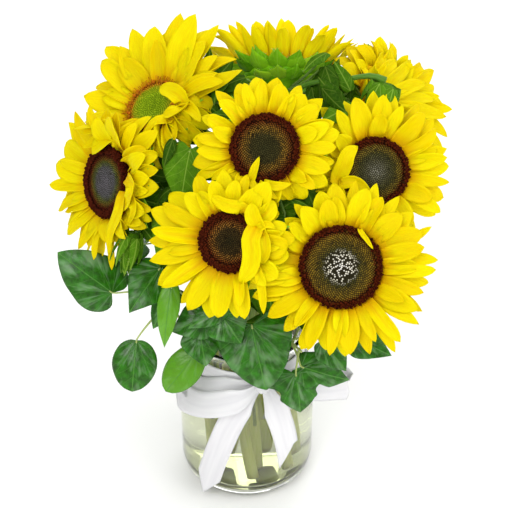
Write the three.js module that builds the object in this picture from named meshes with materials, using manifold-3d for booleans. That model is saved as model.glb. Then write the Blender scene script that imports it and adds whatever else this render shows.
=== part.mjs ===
// Sunflowers in a glass jar: eight blooms on thick stems, sprays of ivy, water and a satin bow.
// Millimetres, +Z up. The origin is the middle of the jar's foot, and the bow faces -Y.
import * as THREE from 'three';
import { mergeVertices } from 'three/addons/utils/BufferGeometryUtils.js';
import Module from 'manifold-3d';

const wasm = await Module();
wasm.setup();

// ---- Driving dimensions ----------------------------------------------------------------------

const gap = 0.3; // between pieces that touch, and between petals and leaves that pass each other
const evening = { petals: 0.6, leaves: 0.6, stems: 0.6 }; // how far a fused surface may be evened out
const holeGap = 0.8; // round the stems in the water

const jar = {
  radius: 65, wall: 3.5, base: 12, corner: 24, bodyTop: 118, shoulder: 4, shoulderRise: 14,
  neckRadius: 54, neckBottom: 141, neckTop: 163, lipRadius: 57.5, lipRound: 1.5, height: 178,
  sides: 16, cornerSteps: 3,
};
const waterLevel = 110;
const neckLevel = 165; // where the stems pass through the jar's neck
const stemRadius = 4.8;
const stemSides = 5;
const stemSteps = 7;
const stemTwist = THREE.MathUtils.degToRad(40); // turn of the stems between neck and floor
const ribbon = {
  width: 25, thickness: 0.7,
  bandThickness: 1.4, // the ribbon goes round twice
  bandHeight: 20,
  knot: [15.5, -58.2, 150], knotSize: [9, 6, 10.5], knotTurn: 15,
};

// Each bloom: the middle of its disc's face, the way it faces (azimuth 0 is -Y, positive turns to +X,
// elevation tips it up), disc radius, petals of the front and back layer, petal length, width, lean
// from the disc's plane and bend along it, and where its stem crosses the jar's neck. A curl leans
// and bends the petals between two angles, counted from the right as the bloom is looked at.
const blooms = [
  {
    name: 'low_right', seed: 11, centre: [81, -100, 321], azimuth: -4, elevation: 38, disc: 34.5,
    front: 14, back: 13, length: 42, width: 20, lean: 30, bend: -26, crown: 1.5, neck: [18, -30],
    curls: [
      { from: 100, to: 165, lean: 14, bend: 20, scale: 0.82 },
      { from: 38, to: 58, lean: 24, bend: 34, scale: 0.86 },
    ],
  },
  {
    name: 'centre', seed: 23, centre: [16, -50, 409], azimuth: -3, elevation: 36, disc: 28.5,
    front: 12, back: 12, length: 35, width: 18, lean: 26, bend: -22, crown: 0.5, neck: [2, -8],
    curls: [
      { from: 236, to: 252, lean: 74, bend: 30, scale: 0.95 },
      { from: 205, to: 320, lean: 26, bend: -70, scale: 0.95 },
    ],
  },
  {
    name: 'low_left', seed: 37, centre: [-14, -95, 344], azimuth: -12, elevation: 26, disc: 25.5,
    front: 12, back: 11, length: 46, width: 19, lean: 24, bend: -22, crown: -3, neck: [-14, -26],
    curls: [
      { from: -75, to: 50, lean: 52, bend: 24, scale: 0.62 },
      { from: 50, to: 120, lean: 26, bend: -20, scale: 0.7 },
    ],
  },
  {
    name: 'right', seed: 41, centre: [113, -30, 372], azimuth: 15, elevation: 34, disc: 28.7,
    front: 12, back: 12, length: 40, width: 18, lean: 28, bend: -24, crown: 0.5, neck: [33, -4],
    curls: [
      { from: 150, to: 232, lean: 44, bend: 10, scale: 0.8 },
      { from: 232, to: 300, lean: 34, bend: -50, scale: 0.85 },
    ],
  },
  {
    name: 'top_left', seed: 67, centre: [-83, 30, 402], azimuth: -55, elevation: 55, disc: 24,
    front: 13, back: 11, length: 50, width: 20, lean: 34, bend: -26, crown: 1, neck: [-20, 14],
    curls: [{ from: -95, to: 45, lean: 60, bend: -120, scale: 0.78 }],
  },
  {
    name: 'left', seed: 53, centre: [-124, -10, 347], azimuth: -54, elevation: 22, disc: 31,
    front: 12, back: 11, length: 42, width: 19, lean: 26, bend: -22, crown: 1, neck: [-34, -2],
    curls: [{ from: -60, to: 60, lean: 50, bend: -60, scale: 0.7 }],
  },
  {
    name: 'top_right', seed: 79, centre: [128, 60, 394], azimuth: 55, elevation: 45, disc: 26,
    front: 11, back: 11, length: 42, width: 18, lean: 34, bend: -24, crown: 1, neck: [26, 20], curls: [],
  },
  {
    name: 'top_back', seed: 83, centre: [35, 95, 399], azimuth: 175, elevation: 40, disc: 40,
    front: 12, back: 11, length: 44, width: 21, lean: 62, bend: -22, crown: 2, neck: [8, 30], curls: [],
  },
];

const bloomSides = 14; // of the disc, the calyx and the ring between them
const petalThickness = 1.2; // at the fold along a petal's middle
const ring = { under: 3, beyond: 2, height: 2.2 }; // carries the petals, partly under the disc's edge
const discLift = ring.height + 2 * gap; // underside of the disc's overhang above the calyx
const discFace = 8; // height of the disc's face above the calyx
const discRelief = 0.7; // how far the florets rise and fall
const calyxDepth = 15;
const bractShape = { length: 30, width: 16, thickness: 1.4, cup: 0.12 };
const leafThickness = 0.7;
const leafStalk = 1.6; // radius, on the sunflowers' stems
const budStalk = 2.2;
const ivy = { vine: 1.5, stalk: 1, foot: 92, steps: 6, sides: 5 };

// ---- Materials -------------------------------------------------------------------------------

const finish = (color, roughness) => new THREE.MeshStandardMaterial({ color, roughness, metalness: 0 });
const petalFinish = finish(0xffe205, 0.6);
const discFinish = finish(0x4a2f12, 0.9);
const greenFinish = finish(0x4f8f1c, 0.7);
const ivyFinish = finish(0x1f6b1c, 0.4);
const ribbonFinish = finish(0xf2f1ef, 0.35);
const glassFinish = new THREE.MeshStandardMaterial({
  color: 0xeef3ee, roughness: 0.05, metalness: 0, transparent: true, opacity: 0.3,
});
const waterFinish = new THREE.MeshStandardMaterial({
  color: 0xc9cf9a, roughness: 0.05, metalness: 0, transparent: true, opacity: 0.5,
});

// ---- Solids ----------------------------------------------------------------------------------

const radians = THREE.MathUtils.degToRad;
const vector = (x, y, z) => new THREE.Vector3(x, y, z);

function seededRandom(seed) {
  let state = seed;
  return () => {
    state = (state + 0x6d2b79f5) >>> 0;
    let mixed = Math.imul(state ^ (state >>> 15), state | 1);
    mixed ^= mixed + Math.imul(mixed ^ (mixed >>> 7), mixed | 61);
    return ((mixed ^ (mixed >>> 14)) >>> 0) / 4294967296;
  };
}

function geometryOf(points, triangles) {
  const geometry = new THREE.BufferGeometry().setFromPoints(points);
  geometry.setIndex(triangles.flat());
  return geometry;
}

function signedVolume(positions, index) {
  const corner = (k) => vector().fromArray(positions, 3 * index[k]);
  let volume = 0;
  for (let k = 0; k < index.length; k += 3) volume += corner(k).dot(corner(k + 1).cross(corner(k + 2)));
  return volume;
}

// A closed geometry as a solid, its faces turned outwards.
function solidOf(geometry) {
  geometry.deleteAttribute('normal');
  geometry.deleteAttribute('uv');
  const merged = mergeVertices(geometry, 1e-3);
  const vertProperties = Float32Array.from(merged.attributes.position.array);
  let triVerts = Uint32Array.from(merged.index.array);
  if (signedVolume(vertProperties, triVerts) < 0) triVerts = triVerts.reverse();
  const mesh = new wasm.Mesh({ numProp: 3, vertProperties, triVerts });
  return new wasm.Manifold(mesh);
}

// Fuses solids, evens out the result by a tolerance and drops loose bits under a cubic millimetre.
function union(parts, tolerance) {
  const bodies = wasm.Manifold.union(parts).simplify(tolerance).decompose();
  return wasm.Manifold.union(bodies.filter((body) => body.volume() > 1));
}

const moved = (solid, matrix) => solid.transform(matrix.elements);

// A lathe round Z from [radius, height] pairs.
function turned(profile, sides, shape = () => {}) {
  const points = profile.map(([radius, height]) => new THREE.Vector2(radius, height));
  const geometry = new THREE.LatheGeometry(points, sides);
  geometry.rotateX(Math.PI / 2);
  shape(geometry.attributes.position, points.length);
  return solidOf(geometry);
}

// A rod with a few flat sides along a smooth curve through the points.
function rod(points, radius, sides, steps) {
  const section = new THREE.Shape();
  for (let k = 0; k < sides; k += 1) {
    const turn = (2 * Math.PI * k) / sides;
    const corner = [radius * Math.cos(turn), radius * Math.sin(turn)];
    if (k === 0) section.moveTo(...corner);
    else section.lineTo(...corner);
  }
  section.closePath();
  const extrudePath = new THREE.CatmullRomCurve3(points);
  return solidOf(new THREE.ExtrudeGeometry(section, { steps, bevelEnabled: false, extrudePath }));
}

// A point on a rod of so many steps, at a share of its length.
function onRod(points, steps, share) {
  const corners = new THREE.CatmullRomCurve3(points).getSpacedPoints(steps);
  const k = Math.min(Math.floor(share * steps), steps - 1);
  return corners[k].clone().lerp(corners[k + 1], share * steps - k);
}

// A loft through rings of four points (left, top, right, bottom) that ends in a single point.
function lensLoft(rings, tip) {
  const triangles = [[1, 3, 2], [1, 0, 3]];
  const last = 4 * (rings.length - 1);
  for (let k = 0; k < 4; k += 1) {
    const next = (k + 1) % 4;
    for (let start = 0; start < last; start += 4) {
      const [a, b, c, d] = [start + k, start + next, start + 4 + next, start + 4 + k];
      if (k % 2 === 0) triangles.push([a, b, c], [a, c, d]);
      else triangles.push([a, b, d], [b, c, d]);
    }
    triangles.push([last + k, last + next, last + 4]);
  }
  return solidOf(geometryOf([...rings.flat(), tip], triangles));
}

// A thin solid through rows of points, split into the same triangles on both faces. Each row has
// its points from left to right, and the direction of its thickness.
function thinSolid(rows, thickness) {
  const lifted = (far) => rows.flatMap(({ points, normal }) => (
    points.map((point) => point.clone().addScaledVector(normal, far))));
  const top = lifted(thickness / 2);
  const bottom = lifted(-thickness / 2);
  const under = top.length;
  const face = [];
  const left = [];
  const right = [];
  let start = 0;
  rows.forEach(({ points }, k) => {
    const count = points.length;
    left.push(start);
    right.push(start + count - 1);
    const next = rows[k + 1];
    const after = start + count;
    if (next && count === 1) {
      for (let j = 0; j + 1 < next.points.length; j += 1) face.push([start, after + j + 1, after + j]);
    } else if (next && next.points.length === 1) {
      for (let j = 0; j + 1 < count; j += 1) face.push([start + j, start + j + 1, after]);
    } else if (next) {
      for (let j = 0; j + 1 < count; j += 1) {
        const [a, b, c, d] = [start + j, start + j + 1, after + j + 1, after + j];
        if (j % 2 === 0) face.push([a, b, c], [a, c, d]);
        else face.push([a, b, d], [b, c, d]);
      }
    }
    start = after;
  });
  const rim = [...new Set([...right, ...left.reverse()])];
  const triangles = face.flatMap(([a, b, c]) => [[a, b, c], [under + a, under + c, under + b]]);
  rim.forEach((a, k) => {
    const b = rim[(k + 1) % rim.length];
    triangles.push([a, under + a, under + b], [a, under + b, b]);
  });
  return solidOf(geometryOf([...top, ...bottom], triangles));
}

// ---- What is placed so far, so that later pieces keep clear of it ------------------------------

const placed = [];

function place(owner, solid) {
  placed.push({ owner, solid, box: solid.boundingBox() });
}

// True if a solid keeps the margin to all that is placed, or an own margin to the pieces named.
function isClear(solid, margin, ownMargins = {}) {
  const box = solid.boundingBox();
  return placed.every((other) => {
    const wanted = other.owner in ownMargins ? ownMargins[other.owner] : margin;
    const apart = [0, 1, 2].some((axis) => box.min[axis] - wanted > other.box.max[axis]
      || other.box.min[axis] - wanted > box.max[axis]);
    return apart || wanted === 0 || solid.minGap(other.solid, 2 * wanted) >= wanted;
  });
}

const model = new THREE.Group();

function addMesh(parent, name, solid, material) {
  const { vertProperties, triVerts } = solid.getMesh();
  const geometry = new THREE.BufferGeometry();
  geometry.setAttribute('position', new THREE.BufferAttribute(vertProperties, 3));
  geometry.setIndex(new THREE.BufferAttribute(triVerts, 1));
  geometry.computeVertexNormals();
  const mesh = new THREE.Mesh(geometry, material);
  mesh.name = name;
  parent.add(mesh);
}

// ---- Jar and water ---------------------------------------------------------------------------

// Points of a quarter round from straight down to straight out, about a centre.
function quarter(radius, centreRadius, centreHeight, steps) {
  return Array.from({ length: steps + 1 }, (_, k) => {
    const turn = (Math.PI / 2) * (k / steps);
    return [centreRadius + radius * Math.sin(turn), centreHeight - radius * Math.cos(turn)];
  });
}

const innerRadius = jar.radius - jar.wall;
const innerCorner = jar.corner - jar.wall;

function makeJar() {
  const outside = [
    ...quarter(jar.corner, jar.radius - jar.corner, jar.corner, jar.cornerSteps),
    [jar.radius, jar.bodyTop],
    [jar.radius - jar.shoulder, jar.bodyTop + jar.shoulderRise],
    [jar.neckRadius, jar.neckBottom],
    [jar.neckRadius, jar.neckTop],
    [jar.lipRadius, (jar.neckTop + jar.height) / 2],
    [jar.lipRadius - jar.lipRound, jar.height],
  ];
  const inside = [
    ...quarter(innerCorner, innerRadius - innerCorner, jar.base + innerCorner, jar.cornerSteps),
    [innerRadius, jar.bodyTop],
    [innerRadius - jar.shoulder, jar.bodyTop + jar.shoulderRise - 2],
    [jar.neckRadius - jar.wall, jar.neckBottom],
    [jar.neckRadius - jar.wall, jar.neckTop],
    [jar.lipRadius - jar.wall, jar.height],
  ];
  return turned([[0, 0], ...outside, ...inside.reverse(), [0, jar.base]], jar.sides);
}

const floorLevel = jar.base + gap;
const floorPlane = [[0, 0, 1], floorLevel];

// The whole body of water, before the stems' holes are taken out of it.
function makeWaterBody() {
  const reach = innerRadius - gap;
  return turned([
    [0, floorLevel],
    ...quarter(innerCorner, reach - innerCorner, floorLevel + innerCorner, jar.cornerSteps),
    [reach, waterLevel],
    [0, waterLevel],
  ], jar.sides);
}

// ---- Ribbon ----------------------------------------------------------------------------------

// A point round the jar: degrees from +X, distance from the axis, height.
const around = (degrees, radius, height) => vector(
  radius * Math.cos(radians(degrees)), radius * Math.sin(radians(degrees)), height,
);

// A strip of ribbon along a smooth curve, gathered narrow at the knot. A loop's width leans from
// straight up, out from the jar at its bottom edge. A hanging strip's width lies along the jar, and
// its end is cut to a point of length tip, or across with one corner moved by slant.
function strip({ points, steps, lean = 0, hangs = false, tip = 0, slant = 0 }) {
  const gathered = 0.3; // share of the width at the knot
  const opening = 0.28; // and what each step adds to it
  const curve = new THREE.CatmullRomCurve3(points);
  const rows = [];
  for (let k = 0; k <= steps; k += 1) {
    const centre = curve.getPointAt(k / steps);
    const along = curve.getTangentAt(k / steps);
    const outward = vector(centre.x, centre.y, 0).normalize();
    const leaning = radians(lean) * Math.min(1, Math.min(k, steps - k) / 4);
    const up = vector(0, 0, Math.cos(leaning)).addScaledVector(outward, -Math.sin(leaning));
    const rough = hangs ? outward.clone().cross(along) : up;
    const across = rough.addScaledVector(along, -rough.dot(along)).normalize();
    const normal = across.clone().cross(along);
    const ends = hangs ? k : Math.min(k, steps - k);
    const half = (ribbon.width / 2) * Math.min(1, gathered + opening * ends);
    const edges = [half, -half].map((far) => centre.clone().addScaledVector(across, far));
    if (k === steps) edges[0].addScaledVector(along, slant);
    rows.push({ points: edges, normal });
    if (k === steps && tip) rows.push({ points: [centre.clone().addScaledVector(along, tip)], normal });
  }
  return thinSolid(rows, ribbon.thickness);
}

function makeRibbon() {
  const inside = jar.neckRadius + gap;
  const outside = inside + ribbon.bandThickness;
  const low = (jar.neckBottom + jar.neckTop - ribbon.bandHeight) / 2;
  const high = low + ribbon.bandHeight;
  const section = [[inside, low], [outside, low], [outside, high], [inside, high], [inside, low]];
  const knot = new THREE.SphereGeometry(1, 7, 5);
  knot.scale(...ribbon.knotSize);
  knot.rotateZ(radians(ribbon.knotTurn));
  knot.translate(...ribbon.knot);
  const leftLoop = strip({
    points: [
      around(-77, 60, 151), around(-95, 69, 142), around(-120, 74, 131), around(-142, 73, 122),
      around(-150, 69, 121), around(-150, 66, 127), around(-128, 64.5, 137), around(-100, 61, 148),
      around(-79, 59, 151),
    ],
    steps: 10,
    lean: 34,
  });
  const rightLoop = strip({
    points: [
      around(-73, 60, 151), around(-56, 68, 147), around(-38, 82, 138), around(-22, 98, 128),
      around(-17, 101, 124), around(-15, 97, 128), around(-27, 80, 140), around(-45, 65, 149),
      around(-71, 59, 152),
    ],
    steps: 10,
    lean: 12,
  });
  const leftTail = strip({
    points: [
      around(-79, 60.5, 149), around(-92, 66, 134), around(-101, 68.5, 115), around(-109, 69, 88),
      around(-116, 70, 60), around(-121, 71.5, 36),
    ],
    steps: 7,
    hangs: true,
    tip: 25,
  });
  const rightTail = strip({
    points: [
      around(-73, 60.5, 149), around(-69, 66, 132), around(-65, 68.5, 112), around(-61, 69, 88),
      around(-58, 70, 65),
    ],
    steps: 6,
    hangs: true,
    slant: -24,
  });
  const band = turned(section, jar.sides);
  return union([band, solidOf(knot), leftLoop, rightLoop, leftTail, rightTail], evening.stems);
}

// ---- Blades: petals and bracts -----------------------------------------------------------------

// The middle line of a blade that grows out of a bloom, in the bloom's frame (Z out of its face).
// It starts at the root's radius and height, leans from the disc's plane and bends as it goes out.
function bladeLine({ angle, root, height, lean, bend, length, sway = 0, twist = 0 }) {
  const outward = vector(Math.cos(angle), Math.sin(angle), 0);
  const side = vector(-Math.sin(angle), Math.cos(angle), 0);
  const turn = Math.abs(bend) < 0.01 ? 0.01 : bend;
  return (s) => {
    const slope = lean + turn * s;
    const reach = root + (length * (Math.sin(slope) - Math.sin(lean))) / turn;
    const rise = height + (length * (Math.cos(lean) - Math.cos(slope))) / turn;
    const point = outward.clone().multiplyScalar(reach).addScaledVector(side, length * sway * s * s);
    point.z += rise;
    const normal = outward.clone().multiplyScalar(-Math.sin(slope));
    normal.z = Math.cos(slope);
    const roll = twist * s;
    return {
      point,
      across: side.clone().multiplyScalar(Math.cos(roll)).addScaledVector(normal, Math.sin(roll)),
      normal: normal.clone().multiplyScalar(Math.cos(roll)).addScaledVector(side, -Math.sin(roll)),
    };
  };
}

// A blade with a fold along its middle, so much thick there, and sharp edges raised by its cup.
function blade(line, stations, halfWidth, thickness, cup) {
  const rings = stations.map((s) => {
    const { point, across, normal } = line(s);
    const half = halfWidth(s);
    const fold = point.clone().addScaledVector(normal, cup * half);
    const edge = (sign) => fold.clone().addScaledVector(across, sign * half);
    const middle = (sign) => point.clone().addScaledVector(normal, (sign * thickness) / 2);
    return [edge(1), middle(1), edge(-1), middle(-1)];
  });
  return lensLoft(rings, line(1).point);
}

const petalHalf = (width) => (s) => (width / 2) * (0.36 * (1 - s) + 0.86 * Math.sin(Math.PI * s) ** 0.8);
const bractHalf = (width) => (s) => (width / 2) * (s < 0.35 ? 0.72 + 0.8 * s : 1.54 * (1 - s));

const petalLayers = [
  { row: 'front', lean: 0, scale: 0.95, offset: 0, stations: [0, 0.3, 0.68], out: 0.3, lift: 1.8 },
  { row: 'back', lean: -16, scale: 1.03, offset: 0.5, stations: [0, 0.5], out: 1, lift: 0.6 },
];
const petalSpread = { share: 0.1, lean: 4, bend: 9, length: 0.09, width: 0.12, sway: 0.06, twist: 16 };
const petalCup = 0.16;

// The leans tried, in degrees, until a petal passes its neighbours, first whole and then shorter.
const leanSteps = [0, 6, -6, 12, -12, 18, -18, 26];
const lengthSteps = [1, 0.78];

// Every petal of a bloom: angles in radians, lengths in millimetres.
function petalList(bloom) {
  const random = seededRandom(bloom.seed);
  const spread = (amount) => amount * (2 * random() - 1);
  return petalLayers.flatMap((layer) => Array.from({ length: bloom[layer.row] }, (_, k) => {
    const degrees = (360 * (k + layer.offset + spread(petalSpread.share))) / bloom[layer.row];
    const turns = [degrees, degrees - 360];
    const curl = bloom.curls.find(({ from, to }) => turns.some((turn) => turn >= from && turn <= to));
    const curled = curl ?? { lean: 0, bend: 0, scale: 1 };
    return {
      angle: radians(degrees),
      root: bloom.disc + layer.out,
      height: gap + layer.lift,
      lean: radians(bloom.lean + layer.lean + curled.lean + spread(petalSpread.lean)),
      bend: radians(bloom.bend + curled.bend + spread(petalSpread.bend)),
      length: bloom.length * layer.scale * curled.scale * (1 + spread(petalSpread.length)),
      width: bloom.width * (1 + spread(petalSpread.width)),
      sway: spread(petalSpread.sway),
      twist: radians(spread(petalSpread.twist)),
      stations: layer.stations,
    };
  }));
}

function petalSolid(petal) {
  return blade(bladeLine(petal), petal.stations, petalHalf(petal.width), petalThickness, petalCup);
}

// ---- Blooms ------------------------------------------------------------------------------------

function facing({ azimuth, elevation }) {
  const [turn, tip] = [radians(azimuth), radians(elevation)];
  return vector(Math.sin(turn) * Math.cos(tip), -Math.cos(turn) * Math.cos(tip), Math.sin(tip));
}

function bloomMatrix(bloom) {
  const out = facing(bloom);
  const right = vector(0, 0, 1).cross(out).normalize();
  const origin = vector(...bloom.centre).addScaledVector(out, -discFace);
  return new THREE.Matrix4().makeBasis(right, out.clone().cross(right), out).setPosition(origin);
}

function makeDisc({ disc, crown }) {
  const profile = [
    [0, gap],
    [disc - ring.under - gap, gap],
    [disc - ring.under - gap, discLift],
    [disc - 0.6, discLift],
    [disc - 0.4, discFace - 2],
    [disc * 0.8, discFace],
    [disc * 0.55, discFace + 0.5 * crown],
    [disc * 0.3, discFace + 0.9 * crown],
    [0, discFace + crown],
  ];
  return turned(profile, bloomSides, (positions, rows) => {
    // The face rises and falls from floret to floret, in rows that turn as they go out.
    for (let k = 0; k < positions.count; k += 1) {
      const [row, column] = [k % rows, Math.floor(k / rows) % bloomSides];
      const onFace = row >= 4 && row < rows - 1;
      const rise = (row + column) % 2 === 0 ? discRelief : -discRelief;
      if (onFace) positions.setZ(k, positions.getZ(k) + rise);
    }
  });
}

function makeCalyx({ disc }) {
  return turned([
    [0, -calyxDepth],
    [stemRadius + 2, -calyxDepth],
    [disc - 2, -4.5],
    [disc - 1.5, 0],
    [0, 0],
  ], bloomSides);
}

// Bracts under a bloom: two rows on the bloom that shows its back, and one on the others.
function bractList(bloom) {
  const random = seededRandom(bloom.seed + 1000);
  const spread = (amount) => amount * (2 * random() - 1);
  const showsBack = bloom.name === 'top_back';
  const rows = [
    { count: showsBack ? 11 : 7, root: bloom.disc - 6, height: -2.3, lean: -8, bend: 44 },
    { count: showsBack ? 6 : 0, root: bloom.disc * 0.5, height: -8.6, lean: -4, bend: 26 },
  ];
  return rows.flatMap((row, layer) => Array.from({ length: row.count }, (_, k) => ({
    angle: (2 * Math.PI * (k + 0.5 * layer + spread(0.15))) / row.count,
    root: row.root,
    height: row.height,
    lean: radians(row.lean + spread(3)),
    bend: radians(row.bend + spread(10)),
    length: bractShape.length * (1 + spread(0.12)),
    width: bractShape.width * (1 + spread(0.12)),
    sway: spread(0.1),
  })));
}

function bractSolid(bract) {
  return blade(bladeLine(bract), [0, 0.35], bractHalf(bract.width), bractShape.thickness, bractShape.cup);
}

// A stem's middle line: straight out of the calyx, in through the neck, and across to the floor.
function stemPoints(bloom) {
  const out = facing(bloom);
  const behind = (distance) => vector(...bloom.centre).addScaledVector(out, -discFace - distance);
  const neck = vector(bloom.neck[0], bloom.neck[1], neckLevel);
  const foot = neck.clone().multiplyScalar(0.9).applyAxisAngle(vector(0, 0, 1), stemTwist);
  foot.z = jar.base - 3;
  const waist = neck.clone().lerp(foot, 0.5);
  waist.z = (neckLevel + foot.z) / 2;
  return [behind(calyxDepth - 3), behind(42), neck.clone().lerp(behind(60), 0.42), neck, waist, foot];
}

// ---- Leaves ------------------------------------------------------------------------------------

// Half outlines from stalk to tip: where the midrib's point is, where the edge's point is, and how
// far out it is, as shares of the length and the width.
const outlines = {
  broad: [[0.1, -0.1, 0.3], [0.26, 0.12, 0.5], [0.5, 0.46, 0.42], [0.76, 0.74, 0.22]],
  ovate: [[0.12, -0.08, 0.34], [0.36, 0.24, 0.5], [0.7, 0.66, 0.28]],
  lobed: [[0.1, -0.08, 0.32], [0.28, 0.26, 0.56], [0.5, 0.44, 0.3], [0.72, 0.72, 0.24]],
  narrow: [[0.1, 0, 0.3], [0.34, 0.3, 0.5], [0.7, 0.68, 0.32]],
  heart: [[0.08, -0.03, 0.3], [0.26, 0.22, 0.5], [0.52, 0.5, 0.4], [0.78, 0.78, 0.18]],
};

// Points of a leaf, u from its stalk end to its tip and v across it, as shares of length and width.
function leafSurface({ base, tip, face, width, fold, arch }) {
  const start = vector(...base);
  const length = start.distanceTo(vector(...tip));
  const along = vector(...tip).sub(start).normalize();
  const across = along.clone().cross(vector(...face)).normalize();
  const normal = across.clone().cross(along);
  const at = (u, v) => start.clone().addScaledVector(along, u * length).addScaledVector(across, v * width)
    .addScaledVector(normal, arch * length * 4 * u * (1 - u) - fold * width * Math.abs(v));
  return { at, normal };
}

function leafSolid(leaf) {
  const { at, normal } = leafSurface(leaf);
  const rows = outlines[leaf.outline].map(([rib, edge, out]) => [at(edge, -out), at(rib, 0), at(edge, out)]);
  return thinSolid([[at(0, 0)], ...rows, [at(1, 0)]].map((points) => ({ points, normal })), leafThickness);
}

// Where a leaf may go to pass its neighbours: moved along the way it faces, in millimetres, and
// turned about its stalk end, in degrees.
const leafMoves = [0, 5, -5, 10, -10, 16, -16, 24];
const leafTurns = [0, 8, -8, 16, -16, 26, -26, 38];

function leafTries(leaf) {
  const face = vector(...leaf.face).normalize();
  return leafMoves.flatMap((move) => leafTurns.map((turn) => {
    const base = vector(...leaf.base).addScaledVector(face, move);
    const along = vector(...leaf.tip).sub(vector(...leaf.base));
    const axis = along.clone().cross(face).normalize();
    const tip = base.clone().add(along.applyAxisAngle(axis, radians(turn)));
    const turned = face.clone().applyAxisAngle(axis, radians(turn));
    return { ...leaf, base: base.toArray(), tip: tip.toArray(), face: turned.toArray() };
  }));
}

// Sideways moves tried for the middle of a stalk or vine until it passes its neighbours.
const bendMoves = [0, 5, 10, 16, 23, 31, 40].flatMap((far) => (
  [0, 60, 120, 180, 240, 300].map((turn) => [far * Math.cos(radians(turn)), far * Math.sin(radians(turn))])));

// The routes that a stalk or vine may take, with one of its points moved.
function routeTries(points, loose) {
  const along = points.at(-1).clone().sub(points[0]).normalize();
  const first = along.clone().cross(vector(0.3, 0.2, 1)).normalize();
  const second = along.clone().cross(first);
  return bendMoves.map(([u, v]) => {
    const route = [...points];
    route[loose] = points[loose].clone().addScaledVector(first, u).addScaledVector(second, v);
    return route;
  });
}

// ---- What grows on the stems, and the sprays of ivy ----------------------------------------------

const frontFace = [0, -0.78, 0.62];

// Buds: on which stem and how far down it they grow, foot, way the tip points, radius and length.
const buds = [
  { on: 'top_back', seat: 0.1, foot: [110, 32, 424], axis: [0.6, -0.55, -0.6], radius: 12, length: 26 },
  { on: 'top_right', seat: 0.2, foot: [88, 30, 392], axis: [0, -0.75, 0.65], radius: 9.5, length: 20 },
  { on: 'left', seat: 0.2, foot: [-98, -48, 318], axis: [-0.26, -0.24, -1], radius: 8, length: 40 },
];

// Leaves on the stems: seat along the stem, stalk end, tip, width and the way they face.
const stemLeaves = [
  { on: 'top_left', seat: 0.25, base: [-48, -22, 389], tip: [-59, -45, 342], width: 44, outline: 'heart' },
  { on: 'centre', seat: 0.3, base: [26, -46, 363], tip: [38, -64, 329], width: 34 },
  { on: 'right', seat: 0.25, base: [66, -34, 362], tip: [54, -52, 322], width: 34 },
  { on: 'left', seat: 0.25, base: [-60, -36, 336], tip: [-78, -56, 296], width: 36 },
  { on: 'top_right', seat: 0.25, base: [84, -8, 421], tip: [64, -14, 413], width: 18 },
  { on: 'left', seat: 0.35, base: [-76, 8, 324], tip: [-91, -14, 284], width: 42 },
  { on: 'low_left', seat: 0.3, base: [19, -50, 283], tip: [24, -80, 232], width: 42 },
  { on: 'centre', seat: 0.25, base: [-24, -12, 326], tip: [-44, -26, 296], width: 32 },
  { on: 'top_back', seat: 0.3, base: [14, 92, 340], tip: [2, 138, 300], width: 48, face: [0, 0.6, 0.8] },
  {
    on: 'top_right', seat: 0.35, base: [88, 78, 312], tip: [118, 112, 276], width: 46, face: [0.4, 0.5, 0.75],
  },
  {
    on: 'top_left', seat: 0.4, base: [-58, 74, 318], tip: [-82, 116, 280], width: 46, face: [-0.4, 0.5, 0.75],
  },
];

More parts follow.
